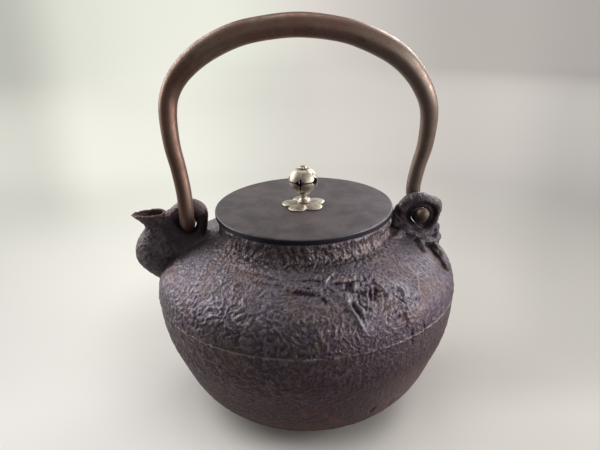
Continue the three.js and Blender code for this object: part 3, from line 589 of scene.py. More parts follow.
def iron_material():
    made, sheet, shader, place = material("cast_iron")
    relief = sheet.add("ShaderNodeAttribute", attribute_name="relief").outputs["Fac"]
    corner = sheet.add("ShaderNodeSeparateXYZ", {0: place}).outputs
    height = corner["Z"]
    grain = sheet.noise(place, 1.1, 3.0, roughness=0.6)
    patches = sheet.noise(place, 0.07, 3.0, roughness=0.6)
    spots = sheet.noise(place, 0.32, 2.0)
    mottle = sheet.math("MULTIPLY", sheet.noise(place, 0.62, 2.0, roughness=0.6), 0.6)
    # Partly painted shade and partly wear: the colour darkens in the hollows of the relief, where shade falls, and
    # is lighter on the worn ridge tops, with random mottles mixed in.
    lit = sheet.step(sheet.math("ADD", sheet.math("MULTIPLY", relief, 0.8), mottle), 0.0, 0.85)
    base = sheet.blend(lit, colour(51, 33, 46), colour(110, 101, 109))
    # Painted sheen: a lighter, cooler band round the shoulder where the side lamps shine, stronger on the ridges.
    painted_shoulder_sheen = sheet.math("MULTIPLY", sheet.step(height, 82, 98), sheet.step(height, 112, 107))
    base = sheet.blend(sheet.math("MULTIPLY", painted_shoulder_sheen, sheet.math("MULTIPLY", lit, 0.42)), base, colour(140, 137, 144))
    base = sheet.blend(sheet.step(patches, 0.45, 0.65, 0.0, 0.38), base, colour(104, 83, 71))
    specks = sheet.step(sheet.noise(place, 0.4, 1.0), 0.64, 0.74, 0.0, 0.5)
    base = sheet.blend(specks, base, colour(96, 70, 60))
    # This layer is partly a duller, less metallic finish and partly painted shade: it darkens the colour on the
    # spout, the rear lug and the front lug below its eye.
    matte = sheet.add("ShaderNodeAttribute", attribute_name="matte").outputs["Fac"]
    neck = sheet.math("MULTIPLY", sheet.step(height, 107, 112), sheet.step(spots, 0.35, 0.6, 0.1, 0.5))
    neck = sheet.math("MULTIPLY", neck, sheet.math("SUBTRACT", 1.0, matte, clamp=True))
    base = sheet.blend(neck, base, colour(118, 106, 104))
    base = sheet.blend(sheet.step(height, 84, 50, 0.0, 0.65), base, colour(60, 37, 44))
    low = sheet.step(height, 46, 8)
    rust = sheet.math("MULTIPLY", low, sheet.step(spots, 0.42, 0.62))
    base = sheet.blend(sheet.math("MULTIPLY", rust, 0.6), base, colour(110, 64, 46))
    seam = sheet.line(height, SEAM_HEIGHT, 0.55)
    worn = sheet.math("MULTIPLY", seam, sheet.step(sheet.noise(place, 0.12, 3.0), 0.28, 0.5))
    base = sheet.blend(sheet.math("MULTIPLY", worn, 0.8), base, colour(138, 126, 122))
    ochre = sheet.add("ShaderNodeAttribute", attribute_name="ochre").outputs["Fac"]
    stain = sheet.math("MULTIPLY", ochre, sheet.step(spots, 0.4, 0.6, 0.1, 0.8))
    base = sheet.blend(stain, base, colour(118, 90, 72))
    # Painted shade: the body darkens towards the foot.
    matte = sheet.math("MAXIMUM", matte, sheet.step(height, 64, 14, 0.0, 0.85))
    base = sheet.blend(sheet.math("MULTIPLY", matte, 0.5), base, colour(35, 22, 31))
    # Painted light: the lower right of the body is lighter where the lamps on the right and the floor light it.
    painted_low_right_light = sheet.math("MULTIPLY", sheet.step(corner["X"], 20, 50), sheet.step(height, 66, 30, 0.0, 0.42))
    base = sheet.blend(painted_low_right_light, base, colour(114, 97, 95))
    stained = sheet.math("MULTIPLY", sheet.step(sheet.noise(place, 0.045, 2.0), 0.46, 0.62),
                         sheet.step(spots, 0.4, 0.62))
    stained = sheet.math("MULTIPLY", stained, sheet.step(height, 66, 30, 0.0, 0.6))
    base = sheet.blend(stained, base, colour(112, 66, 48))
    rusty = sheet.add("ShaderNodeAttribute", attribute_name="rust").outputs["Fac"]
    rusty = sheet.math("MULTIPLY", rusty, sheet.step(grain, 0.3, 0.6, 0.35, 0.9))
    base = sheet.blend(rusty, base, colour(84, 62, 56))
    sheet.tree.links.new(base, shader.inputs["Base Color"])
    sheet.tree.links.new(sheet.step(matte, 0, 1, 0.8, 0.5), shader.inputs["Metallic"])
    rough = sheet.step(sheet.math("SUBTRACT", grain, sheet.math("MULTIPLY", lit, 0.2)), 0.15, 0.55, 0.36, 0.56)
    rough = sheet.math("ADD", rough, sheet.math("MULTIPLY", matte, 0.12))
    sheet.tree.links.new(rough, shader.inputs["Roughness"])
    sand = sheet.math("ADD", grain, sheet.math("MULTIPLY", sheet.noise(place, 0.6, 1.0), 1.2))
    bumped(sheet, shader, sand, 0.48)
    return made


def bronze_material():
    made, sheet, shader, place = material("handle_bronze")
    patches = sheet.noise(place, 0.05, 3.0, roughness=0.6)
    blotches = sheet.noise(place, 0.22, 2.0)
    specks = sheet.noise(place, 1.3, 1.0)
    base = sheet.blend(sheet.step(patches, 0.35, 0.65), colour(126, 95, 84), colour(131, 112, 99))
    base = sheet.blend(sheet.step(blotches, 0.5, 0.75, 0.0, 0.6), base, colour(112, 84, 77))
    corner = sheet.add("ShaderNodeSeparateXYZ", {0: place}).outputs
    base = sheet.blend(sheet.step(corner["X"], -45, -68, 0.0, 0.6), base, colour(94, 68, 57))
    rear = sheet.step(corner["X"], 0, 72, 0.0, 0.65)
    base = sheet.blend(rear, base, colour(122, 110, 101))
    hook = sheet.math("MULTIPLY", sheet.step(corner["X"], 57, 60), sheet.step(corner["Z"], 128, 122))
    # Painted shadow: the part of the rod inside the rear eye is darkened nearly to black, and made rougher and less
    # metallic.
    painted_eye_shadow = sheet.math("MULTIPLY", hook, sheet.step(corner["Y"], -6.5, -4.5))
    base = sheet.blend(sheet.math("MULTIPLY", hook, 0.5), base, colour(78, 66, 62))
    base = sheet.blend(sheet.math("MULTIPLY", painted_eye_shadow, 0.95), base, colour(22, 15, 18))
    base = sheet.blend(sheet.step(specks, 0.68, 0.76), base, colour(52, 38, 34))
    sheet.tree.links.new(base, shader.inputs["Base Color"])
    sheet.tree.links.new(sheet.step(painted_eye_shadow, 0, 1, 0.8, 0.1), shader.inputs["Metallic"])
    rough = sheet.math("ADD", sheet.step(blotches, 0.3, 0.7, 0.42, 0.54), sheet.math("MULTIPLY", hook, 0.12))
    rough = sheet.math("ADD", rough, sheet.math("MULTIPLY", painted_eye_shadow, 0.3))
    sheet.tree.links.new(rough, shader.inputs["Roughness"])
    bumped(sheet, shader, sheet.math("ADD", specks, sheet.noise(place, 0.4, 2.0)), 0.03)
    return made


def lid_material():
    made, sheet, shader, place = material("lid_patina")
    clouds = sheet.noise(place, 0.09, 4.0, roughness=0.65)
    mottles = sheet.noise(place, 0.6, 3.0, roughness=0.6)
    base = sheet.blend(sheet.step(clouds, 0.35, 0.65), colour(75, 67, 74), colour(101, 93, 98))
    base = sheet.blend(sheet.step(mottles, 0.45, 0.7, 0.0, 0.55), base, colour(106, 91, 82))
    edge = sheet.step(sheet.add("ShaderNodeSeparateXYZ", {0: place}).outputs["Z"], LID_TOP - 0.2, LID_TOP - 1.0)
    base = sheet.blend(edge, base, colour(40, 40, 52))
    sheet.tree.links.new(base, shader.inputs["Base Color"])
    shader.inputs["Metallic"].default_value = 0.6
    sheet.tree.links.new(sheet.step(mottles, 0.3, 0.7, 0.36, 0.48), shader.inputs["Roughness"])
    bumped(sheet, shader, mottles, 0.03)
    return made


def silver_material():
    made, sheet, shader, place = material("knob_silver_brass")
    clouds = sheet.noise(place, 0.3, 3.0, roughness=0.6)
    base = sheet.blend(sheet.step(clouds, 0.35, 0.65), colour(162, 152, 137), colour(188, 179, 165))
    # Painted shade: the inner faces of the bud's shells are darkened nearly to black, as shade inside the hollow
    # bud.
    inside = sheet.add("ShaderNodeAttribute", attribute_name="inside").outputs["Fac"]
    base = sheet.blend(inside, base, colour(24, 18, 22))
    sheet.tree.links.new(base, shader.inputs["Base Color"])
    shader.inputs["Metallic"].default_value = 1.0
    sheet.tree.links.new(sheet.step(clouds, 0.3, 0.7, 0.44, 0.52), shader.inputs["Roughness"])
    bumped(sheet, shader, sheet.noise(place, 2.2, 2.0), 0.012)
    return made


def outline():
    """The body's outer face from the foot to the neck, as radius and height in many small steps."""
    shoulder = [[radius * BODY_RADIUS, height * SHOULDER_HEIGHT] for radius, height in OUTLINE_SHARES]
    curve = between(shoulder + [[NECK_RADIUS, SHOULDER_HEIGHT]], np.linspace(0, 1, 400))
    return np.vstack([[BASE_RADIUS, 0], curve])


def shoulder_height(radius):
    line = outline()
    top = line[np.argmax(line[:, 0]):][::-1]
    return np.interp(radius, top[:, 0], top[:, 1])


def body_distance(points):
    """Distance of points from the body's outer face in its upper part, inwards below zero."""
    line = outline()
    radius, height = np.hypot(points[:, 0], points[:, 1]), points[:, 2]
    slope = np.gradient(line, axis=0)
    slope /= np.linalg.norm(slope, axis=1)[:, None]
    result = np.empty(len(points))
    for start in range(0, len(points), 4000):
        part = slice(start, start + 4000)
        away = np.stack([radius[part], height[part]], 1)[:, None, :] - line[None]
        nearest = np.argmin((away ** 2).sum(-1), 1)
        offset = away[np.arange(len(nearest)), nearest]
        along = slope[nearest]
        result[part] = offset[:, 0] * along[:, 1] - offset[:, 1] * along[:, 0]
    return result


def limb(rows, steps, sides, ridges=0.0, twist=0.0):
    """Rings of a limb through rows of x, y, z and radius, with rounded ends and lengthwise ridges."""
    rows = between(rows, np.linspace(0, 1, steps))
    run = np.concatenate([[0], np.cumsum(np.linalg.norm(np.diff(rows[:, :3], axis=0), axis=1))])
    along = np.gradient(rows[:, :3], axis=0)
    along /= np.linalg.norm(along, axis=1)[:, None]
    side = np.cross(along, [0.3, 0.2, 1.0])
    side /= np.linalg.norm(side, axis=1)[:, None]
    up = np.cross(side, along)
    angles = np.linspace(0, 2 * math.pi, sides, endpoint=False)
    rings = []

    def add_ring(index, shrink, shift):
        turn = angles + twist * run[index]
        wave = 1 + ridges * (np.sin(5 * turn) + 0.6 * np.sin(8 * turn + 1.3)) * shrink
        radius = rows[index, 3] * shrink * wave
        middle = rows[index, :3] + along[index] * shift
        rings.append(middle - np.outer(radius * np.cos(angles), side[index])
                     + np.outer(radius * np.sin(angles), up[index]))

    for angle in np.linspace(0.1, math.pi / 2, 7)[:-1]:
        add_ring(0, math.sin(angle), -rows[0, 3] * math.cos(angle))
    for index in range(steps):
        add_ring(index, 1.0, 0.0)
    for angle in np.linspace(math.pi / 2, 0.1, 7)[1:]:
        add_ring(steps - 1, math.sin(angle), rows[-1, 3] * math.cos(angle))
    return np.array(rings)


def eye_ring(shares, middle_x, middle_z, half_length, half_height, lump=0.0, steps=96, sides=48):
    """Rings of a ring round an eye, from a table of outer reach and half width, with a lump in the eye."""
    places = np.arange(steps) / steps
    values = between(shares, places, loops=True)
    rings = []
    for place, (reach_share, width_share, shift_share) in zip(places, values):
        angle = place * 2 * math.pi
        outward = np.array([math.cos(angle), 0, math.sin(angle)])
        hole = half_length * half_height / math.hypot(half_height * outward[0], half_length * outward[2])
        hole *= 1 - lump * math.exp(-((angle - 0.7) / 0.6) ** 2)
        reach = reach_share * half_height + abs(outward[0]) * (half_length - half_height)
        middle = np.array([middle_x, 0, middle_z]) + outward * (reach + hole) / 2
        turns = np.linspace(0, 2 * math.pi, sides, endpoint=False)
        rings.append(middle + np.outer(np.cos(turns) * (reach - hole) / 2, outward)
                     + np.outer((np.sin(turns) * width_share + shift_share) * half_height, [0, 1, 0]))
    return np.array(rings)


def eye_foot(shares, middle_x, middle_z, unit, steps=30, sides=64):
    turns = np.linspace(0, 2 * math.pi, sides, endpoint=False)
    rings = []
    for shift, rise, length, width in between(shares, np.linspace(1, 0, steps)) * unit:
        rings.append(np.stack([
            middle_x + shift + np.cos(turns) * length,
            np.sin(turns) * width,
            np.full(sides, middle_z + rise),
        ], 1))
    return np.array(rings)


def spout_rings(root_growth, lip_growth, steps, sides, past=0.0):
    """Rings of the spout from its root to its lip, grown by a distance, or shrunk below zero."""
    places = np.linspace(0, 1, steps)
    turns = np.linspace(0, 2 * math.pi, sides, endpoint=False)
    rings = []
    rows = between(SPOUT_SHARES, places)
    if past:
        places = np.append(places, 1.0)
        rows = np.vstack([rows, rows[-1]])
    for index, (place, row) in enumerate(zip(places, rows)):
        reach, rise, length, width, point, tilt = row
        growth = root_growth + (lip_growth - root_growth) * place ** 3
        turn = math.radians(tilt)
        lift = past if index == steps else 0.0
        forward = np.cos(turns) * (length * BULGE_RADIUS + growth)
        across = np.sin(turns) * (width * BULGE_RADIUS + growth) * (1 + point * np.cos(turns))
        rings.append(np.stack([
            -SPOUT_DISTANCE + reach * BULGE_RADIUS - math.sin(turn) * lift + forward * math.cos(turn),
            across,
            SPOUT_HEIGHT + rise * BULGE_RADIUS + math.cos(turn) * lift + forward * math.sin(turn),
        ], 1))
    return np.array(rings)


def joined(name, parts):
    """One mesh of several closed skins."""
    points, faces, start = [], [], 0
    for some_points, some_faces in parts:
        points.append(some_points)
        faces += [[corner + start for corner in face] for face in some_faces]
        start += len(some_points)
    return mesh_of(name, np.vstack(points), faces)


def fused(mesh, voxel, rounds):
    """Closed skins that overlap made one, with the corners between them eased."""
    thing = placed("fusing", mesh)
    remesh = thing.modifiers.new("fuse", "REMESH")
    remesh.mode = "VOXEL"
    remesh.voxel_size = voxel * MM
    ease = thing.modifiers.new("ease", "SMOOTH")
    ease.factor = 0.5
    ease.iterations = rounds
    return settled(thing)


def front_lug_mesh():
    ring = skin(eye_ring(
        FRONT_LUG_SHARES, -EYE_DISTANCE, FRONT_EYE_HEIGHT, FRONT_EYE_HALF_LENGTH, FRONT_EYE_HALF_HEIGHT,
        FRONT_EYE_LUMP), True)
    foot = skin(eye_foot(FRONT_FOOT_SHARES, -EYE_DISTANCE, FRONT_EYE_HEIGHT, FRONT_EYE_HALF_HEIGHT))
    return fused(joined("front lug", [ring, foot]), LUG_VOXEL, 8)


def rear_lug_mesh():
    ring = skin(eye_ring(
        REAR_LUG_SHARES, EYE_DISTANCE, REAR_EYE_HEIGHT, REAR_EYE_HALF_LENGTH, REAR_EYE_HALF_HEIGHT), True)
    foot = skin(eye_foot(REAR_FOOT_SHARES, EYE_DISTANCE, REAR_EYE_HEIGHT, REAR_EYE_HALF_HEIGHT))
    waist = skin(eye_ring(WAIST_SHARES, WAIST_X, WAIST_Z, WAIST_HALF_LENGTH, WAIST_HALF_HEIGHT), True)
    parts = [ring, foot, waist]
    for number, shares in enumerate([MAIN_ROOT, *ROOTS[1:], BASE_RIDGE, LID_LUMP]):
        rows = []
        for along, across, lift, radius in np.array(shares) * REAR_EYE_HALF_HEIGHT:
            x = EYE_DISTANCE + along
            rows.append([x, across, shoulder_height(math.hypot(x, across)) + lift, radius])
        parts.append(skin(limb(rows, 60, 48, ridges=0.07, twist=0.06 + 0.02 * number)))
    return fused(joined("rear lug", parts), LUG_VOXEL, 5)


def spout_mesh():
    outer = spout_rings(0, 0, SPOUT_STEPS, SPOUT_SIDES)
    inner = spout_rings(-SPOUT_WALL, -LIP_WALL, SPOUT_STEPS, SPOUT_SIDES)
    middle = (outer[-1:] + inner[-1:]) / 2 + np.array([-0.05, 0, 0.35])
    return mesh_of("spout", *skin(np.concatenate([outer, middle, inner[::-1]]), True))


def core_mesh():
    """The space inside the middle of the iron wall, which trims what stands on the body."""
    wall = sideways(spaced(outline(), 90), -BODY_WALL / 2)
    wall = wall[(wall[:, 1] > FLOOR_THICKNESS) & (wall[:, 0] > MOUTH_RADIUS + BODY_WALL / 2)]
    throat = [MOUTH_RADIUS + BODY_WALL / 2, wall[-1, 1]]
    return mesh_of("core", *skin(turned(np.vstack([wall, [throat], [[throat[0], RIM_HEIGHT - 2]]]), 180)))


def body_profiles():
    """Outer and inner line of the upper and the lower half, and how far along the outline each starts."""
    line = outline()
    neck = np.array([
        [NECK_RADIUS - NECK_WAIST, (SHOULDER_HEIGHT + RIM_HEIGHT) / 2],
        [NECK_RADIUS, RIM_HEIGHT - RIM_ROUNDING],
    ])
    split = np.interp(SEAM_HEIGHT, line[:, 1], line[:, 0])
    low = np.vstack([line[line[:, 1] < SEAM_HEIGHT], [[split, SEAM_HEIGHT]]])
    high = np.vstack([[[split, SEAM_HEIGHT]], line[line[:, 1] > SEAM_HEIGHT], neck])
    low = spaced(low, LOWER_ROWS)
    high = eased(spaced(high, UPPER_ROWS), 6)
    inner = sideways(spaced(line[1:], 200), -BODY_WALL)
    inner = inner[(inner[:, 1] > FLOOR_THICKNESS) & (inner[:, 0] > MOUTH_RADIUS)]
    inner_split = np.interp(SEAM_HEIGHT, inner[:, 1], inner[:, 0])
    inner_high = np.vstack([[[inner_split, SEAM_HEIGHT]], inner[inner[:, 1] > SEAM_HEIGHT]])
    inner_low = np.vstack([inner[inner[:, 1] < SEAM_HEIGHT], [[inner_split, SEAM_HEIGHT]]])
    arc = np.linspace(0, math.pi / 2, 5)[1:]
    rim = np.stack([NECK_RADIUS - RIM_ROUNDING * (1 - np.cos(arc)),
                    RIM_HEIGHT - RIM_ROUNDING * (1 - np.sin(arc))], 1)
    mouth = np.array([[MOUTH_RADIUS + 0.3, RIM_HEIGHT], [MOUTH_RADIUS, RIM_HEIGHT - 0.3],
                      [MOUTH_RADIUS, inner_high[-1, 1]]])
    seam_run = np.linalg.norm(np.diff(low, axis=0), axis=1).sum()
    upper = (high, np.vstack([rim, mouth, spaced(inner_high, WALL_ROWS)[::-1]]), seam_run)
    lower = (low, np.vstack([spaced(inner_low, WALL_ROWS)[::-1], [[BASE_RADIUS, FLOOR_THICKNESS]]]), 0.0)
    return upper, lower


def with_seam(profile):
    """A profile with the fin of the mould seam raised on it."""
    rise = np.clip(1 - ((profile[:, 1] - SEAM_HEIGHT) / (SEAM_WIDTH / 2)) ** 2, 0, 1) * SEAM_RISE
    return np.stack([profile[:, 0] + rise, profile[:, 1]], 1)


def stroked(points, run, shown):
    """Rise and share of ochre that the strokes give to each point, which lies at a distance from the foot."""
    rise, ochre = np.zeros(len(points)), np.zeros(len(points))
    azimuth = np.degrees(np.arctan2(points[:, 1], points[:, 0]))
    radius = np.hypot(points[:, 0], points[:, 1])
    for width, height, bank, tint, places in STROKES:
        places = np.array(places)
        reach = 3 * width + 3 * BANK_SPREAD * (bank > 0)
        margin = np.degrees(reach / np.min(radius[shown]))
        near = (shown & (azimuth > places[:, 0].min() - margin) & (azimuth < places[:, 0].max() + margin)
                & (run > places[:, 1].min() - reach) & (run < places[:, 1].max() + reach))
        chosen = np.flatnonzero(near)
        if not len(chosen):
            continue
        flat = np.radians(places[:, 0][:, None] - azimuth[chosen]) * radius[chosen]
        level = places[:, 1][:, None] - run[chosen]
        best = np.full(len(chosen), np.inf)
        side = np.zeros(len(chosen))
        tip = np.zeros(len(chosen))
        for i in range(len(places) - 1):
            step = np.stack([flat[i + 1] - flat[i], level[i + 1] - level[i]])
            length = np.hypot(*step)
            share = np.clip(-(flat[i] * step[0] + level[i] * step[1]) / length ** 2, 0, 1)
            off = np.stack([flat[i] + share * step[0], level[i] + share * step[1]])
            away = np.hypot(*off)
            closer = away < best
            best = np.where(closer, away, best)
            side = np.where(closer, (off[0] * step[1] - off[1] * step[0]) / length, side)
            tip = np.where(closer, (i + share) / (len(places) - 1), tip)
        fade = np.clip(4 * np.minimum(tip, 1 - tip) + 0.35, 0, 1)
        rise[chosen] += height * fade * np.exp(-(best / width) ** 2)
        on_left = smooth(-0.5 * width, 0.5 * width, side)
        rise[chosen] += bank * fade * on_left * np.exp(-(best / BANK_SPREAD) ** 2)
        ochre[chosen] = np.maximum(ochre[chosen], tint * fade * np.exp(-(best / (1.5 * width)) ** 2))
    return rise, ochre


def body_half(name, outer, inner, start, limbs, loops):
    """One half of the iron body with its layers, ready for the cast skin."""
    along = np.gradient(outer, axis=0)
    along /= np.linalg.norm(along, axis=1)[:, None]
    outward = np.vstack([np.stack([along[:, 1], -along[:, 0]], 1), np.zeros((len(inner), 2))])
    profile = np.vstack([with_seam(outer), inner])
    rings = turned(profile, BODY_COLUMNS, FRONT_SHARE)
    angles = np.arctan2(rings[0, :, 1], rings[0, :, 0])
    direction = np.stack([outward[:, 0][:, None] * np.cos(angles), outward[:, 0][:, None] * np.sin(angles),
                          outward[:, 1][:, None] + 0 * angles], -1).reshape(-1, 3)
    points, faces = skin(rings, loops)
    extra = len(points) - len(direction)
    direction = np.vstack([direction, np.zeros((extra, 3))])
    shown = np.linalg.norm(direction, axis=1) > 0.5
    height = points[:, 2]
    azimuth = np.degrees(np.arctan2(points[:, 1], points[:, 0]))
    cover = shown * smooth(RIM_HEIGHT - 0.4, RIM_HEIGHT - 2, height) * smooth(0.2, 1.5, height)
    right = smooth(-95, -50, azimuth) * smooth(75, 20, azimuth)
    share = 0.25 + 0.75 * smooth(25, 70, height) * smooth(112, 92, height)
    wrinkle = cover * share * (1 - 0.45 * right) * smooth(111, 106, height)
    stroke = cover * smooth(106.5, 111.5, height)
    lengths = np.linalg.norm(np.diff(outer, axis=0), axis=1)
    run = start + np.concatenate([[0], np.cumsum(lengths), np.zeros(len(inner))])
    run = np.append(np.repeat(run, BODY_COLUMNS), np.zeros(extra))
    rise, ochre = stroked(points, run, shown)
    carving = fillets(points, limbs, shown) + rise
    rubble = np.zeros(len(points))
    for middle, level, wide, tall, amount in RUBBLE:
        off = np.hypot((azimuth - middle) / wide, (run - level) / tall)
        rubble = np.maximum(rubble, amount * smooth(1.0, 0.45, off) * cover)
    return mesh_of(name, points, faces, outward=direction, skin=cover, wrinkle=wrinkle * (1 - 0.7 * rubble),
                   stroke=stroke, rubble=rubble, carving=carving, ochre=ochre)


def fillets(points, limbs, shown):
    """How far each point rises where the body runs into a limb."""
    rise = np.zeros(len(points))
    for low, high, tree, fillet in limbs:
        near = shown & np.all((points > low - fillet) & (points < high + fillet), axis=1)
        for index in np.flatnonzero(near):
            spot = Vector(points[index] * MM)
            hit, normal, _, distance = tree.find_nearest(spot)
            away = distance / MM
            if (spot - hit).dot(normal) < 0:
                away = -away
            gap = min(max(fillet - away, 0), fillet)
            rise[index] = max(rise[index], gap * gap / (4 * fillet))
    return rise


def limb_tree(mesh, fillet):
    """Where a limb is, and how wide the body runs into it."""
    points = points_of(mesh)
    corners = [tuple(polygon.vertices) for polygon in mesh.polygons]
    tree = BVHTree.FromPolygons([Vector(point * MM) for point in points], corners)
    return points.min(0), points.max(0), tree, fillet


def rusty(points):
    """Share of rust on the lip of the spout."""
    away = np.abs(points[:, 0] + SPOUT_DISTANCE + 3) / 14
    return smooth(SPOUT_HEIGHT + 1.5 * BULGE_RADIUS, SPOUT_HEIGHT + 1.85 * BULGE_RADIUS, points[:, 2]) * (away < 1)


def dressed_limb(mesh, tree, iron, fillet, wrinkle, sizes, eye, others, matte):
    """A limb of the casting with fillets at its foot and at other limbs, and the cast skin on it."""
    points, outward = points_of(mesh), normals_of(mesh)
    above = np.maximum(body_distance(points), 0)
    gap = np.maximum(fillet - above, 0)
    carving = np.where(above > 0, gap * gap / (4 * fillet), 0.0)
    carving = np.maximum(carving, fillets(points, others, np.ones(len(points), bool)))
    cover = np.ones(len(points))
    if eye:
        away = np.hypot(points[:, 0] - eye[0], points[:, 2] - eye[1])
        cover = smooth(eye[2] + 0.3, eye[2] + 3, away)
    # One of these layers is both a duller finish and painted shade.
    for layer, values in (("outward", outward), ("skin", cover), ("wrinkle", cover * wrinkle),
                          ("stroke", 0 * cover), ("rubble", 0 * cover), ("carving", carving * cover),
                          ("matte", matte(points)), ("rust", rusty(points))):
        add_layer(mesh, layer, values)
    return grown(mesh, tree, Material=iron, **sizes)


def dress(name, mesh, made, body, node, sharp=40):
    """A finished piece that rides on a body and stands for a CAD node."""
    mesh.name = name
    mesh.materials.clear()
    mesh.materials.append(made)
    mesh.shade_smooth()
    mesh.set_sharp_from_angle(angle=math.radians(sharp))
    thing = placed(name, mesh)
    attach(thing, body)
    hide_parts(node)
    return thing


def make_casting(iron):
    tree = skin_tree()
    spout, front, rear = spout_mesh(), front_lug_mesh(), rear_lug_mesh()
    limbs = [limb_tree(spout, SPOUT_FILLET), limb_tree(front, FRONT_FILLET), limb_tree(rear, REAR_FILLET)]
    upper, lower = body_profiles()
    bore = mesh_of("bore", *skin(spout_rings(-SPOUT_WALL, -LIP_WALL, SPOUT_STEPS, SPOUT_SIDES)))
    body = grown(body_half("upper", *upper, limbs, True), tree, Material=iron)
    dress("iron_body_upper", cut(body, bore), iron, "kettle", "kettle_shell", 70)
    body = grown(body_half("lower", *lower, limbs, False), tree, Material=iron)
    dress("iron_body_lower", body, iron, "kettle", "kettle_shell", 70)
    core = core_mesh()
    beside = [limb_tree(spout, LUG_FILLET)]
    # The last entry of each row is the limb's share of duller finish and painted shade: evenly on the spout and the
    # rear lug, and on the front lug below its eye.
    for name, part, node, fillet, wrinkle, sizes, eye, others, matte in (
        ("spout_casting", spout, "spout", SPOUT_FILLET, 0.3,
         {"Lump_depth": 1.0, "Lump_spacing": 9.0, "Fine_depth": 0.35, "Grain_depth": 0.7, "Grain_spacing": 2.2},
         None, [], lambda points: 0.55 + 0 * points[:, 0]),
        ("front_lug_casting", front, "front_lug", FRONT_FILLET, 0.0,
         {"Fine_depth": 0.1, "Lump_depth": 0.5, "Lump_spacing": 7.0},
         (-EYE_DISTANCE, FRONT_EYE_HEIGHT, FRONT_EYE_HALF_HEIGHT), beside,
         lambda points: smooth(FRONT_EYE_HEIGHT + 11, FRONT_EYE_HEIGHT + 1, points[:, 2])),
        ("rear_lug_casting", rear, "rear_lug", REAR_FILLET, 0.25, {"Lump_depth": 1.5, "Lump_spacing": 5.0},
         (EYE_DISTANCE, REAR_EYE_HEIGHT, REAR_EYE_HALF_LENGTH), [], lambda points: 0.5 + 0 * points[:, 0]),
    ):
        mesh = dressed_limb(part, tree, iron, fillet, wrinkle, sizes, eye, others, matte)
        dress(name, cut(mesh, core.copy()), iron, "kettle", node, 70)


def make_bail(bronze):
    rows = np.array(HANDLE_SHARES)

    def half(direction, width, rise):
        return np.stack([
            direction * rows[:, width] * EYE_DISTANCE,
            direction * rows[:, 5] * HOOK_OFFSET,
            HINGE_HEIGHT + rows[:, rise] * HANDLE_RISE,
            rows[:, 4] * GRIP_RADIUS,
        ], 1)

    line = between(np.vstack([half(-1, 2, 3)[1:][::-1], half(1, 0, 1)]), np.linspace(0, 1, 1600))
    line = spaced(line, 380)
    tips = []
    for end, inner in ((0, 1), (-1, -2)):
        along = line[end, :3] - line[inner, :3]
        along /= np.linalg.norm(along)
        angles = np.linspace(0, math.pi / 2, 9)[1:]
        radius = line[end, 3]
        caps = [[*(line[end, :3] + along * radius * math.sin(a)), max(radius * math.cos(a), 0.05)] for a in angles]
        tips.append(np.array(caps))
    line = np.vstack([tips[0][::-1], line, tips[1]])
    mesh = bpy.data.meshes.new("bail line")
    mesh.from_pydata((line[:, :3] * MM).tolist(), [[i, i + 1] for i in range(len(line) - 1)], [])
    add_layer(mesh, "thickness", line[:, 3] * MM)
    mesh.update()
    dress("bail", grown(mesh, bail_tree(), Material=bronze), bronze, "handle", "bail_handle")


def lathe(name, profile, sides, made, body, node, sharp=35):
    """A piece turned from a closed profile."""
    dress(name, mesh_of(name, *skin(turned(profile, sides), True)), made, body, node, sharp)


def rounded(corners, radius, steps=4):
    """A closed profile with each corner rounded by a radius of its own, or by none."""
    corners = np.asarray(corners, float)
    line = []
    for i, here in enumerate(corners):
        size = radius[i]
        if not size:
            line.append(here)
            continue
        before, after = corners[i - 1] - here, corners[(i + 1) % len(corners)] - here
        start = here + before / np.linalg.norm(before) * size
        end = here + after / np.linalg.norm(after) * size
        for share in np.linspace(0, 1, steps + 1):
            line.append((1 - share) ** 2 * start + 2 * share * (1 - share) * here + share ** 2 * end)
    return np.array(line)


def make_lid(patina):
    corners = [
        [BORE_RADIUS, RIM_HEIGHT], [FLANGE_INNER, RIM_HEIGHT], [FLANGE_INNER, RIM_HEIGHT - FLANGE_DEPTH],
        [FLANGE_OUTER, RIM_HEIGHT - FLANGE_DEPTH], [FLANGE_OUTER, RIM_HEIGHT], [LID_RADIUS, RIM_HEIGHT],
        [LID_RADIUS, LID_TOP], [BORE_RADIUS, LID_TOP],
    ]
    profile = rounded(corners, [0, 0.4, 0.3, 0.3, 0.2, 1.3, 0.9, 0], 8)
    top = [[radius, LID_TOP] for radius in np.linspace(LID_RADIUS - 2, BORE_RADIUS, 40)[:-1]]
    profile = np.vstack([profile[:-1], top, profile[-1:]])
    lathe("lid_plate", profile, 360, patina, "lid", "lid")


def petalled(profile, columns, phase, shape):
    """One petal's share of a closed profile turned about the axis and reshaped by a rule."""
    angles = np.linspace(-math.pi / PETALS, math.pi / PETALS, columns)
    radius = np.repeat(profile[:, 0][:, None], columns, 1)
    height = np.repeat(profile[:, 1][:, None], columns, 1)
    radius, height = shape(radius, height, np.repeat(angles[None], len(profile), 0))
    grid = np.stack([radius * np.cos(angles + phase), radius * np.sin(angles + phase), height], -1)
    count = len(profile)
    i, j = np.meshgrid(np.arange(count), np.arange(columns - 1), indexing="ij")
    there = (i + 1) % count
    faces = np.stack([i * columns + j, i * columns + j + 1, there * columns + j + 1, there * columns + j], -1)
    return grid.reshape(-1, 3), faces.reshape(-1, 4).tolist()


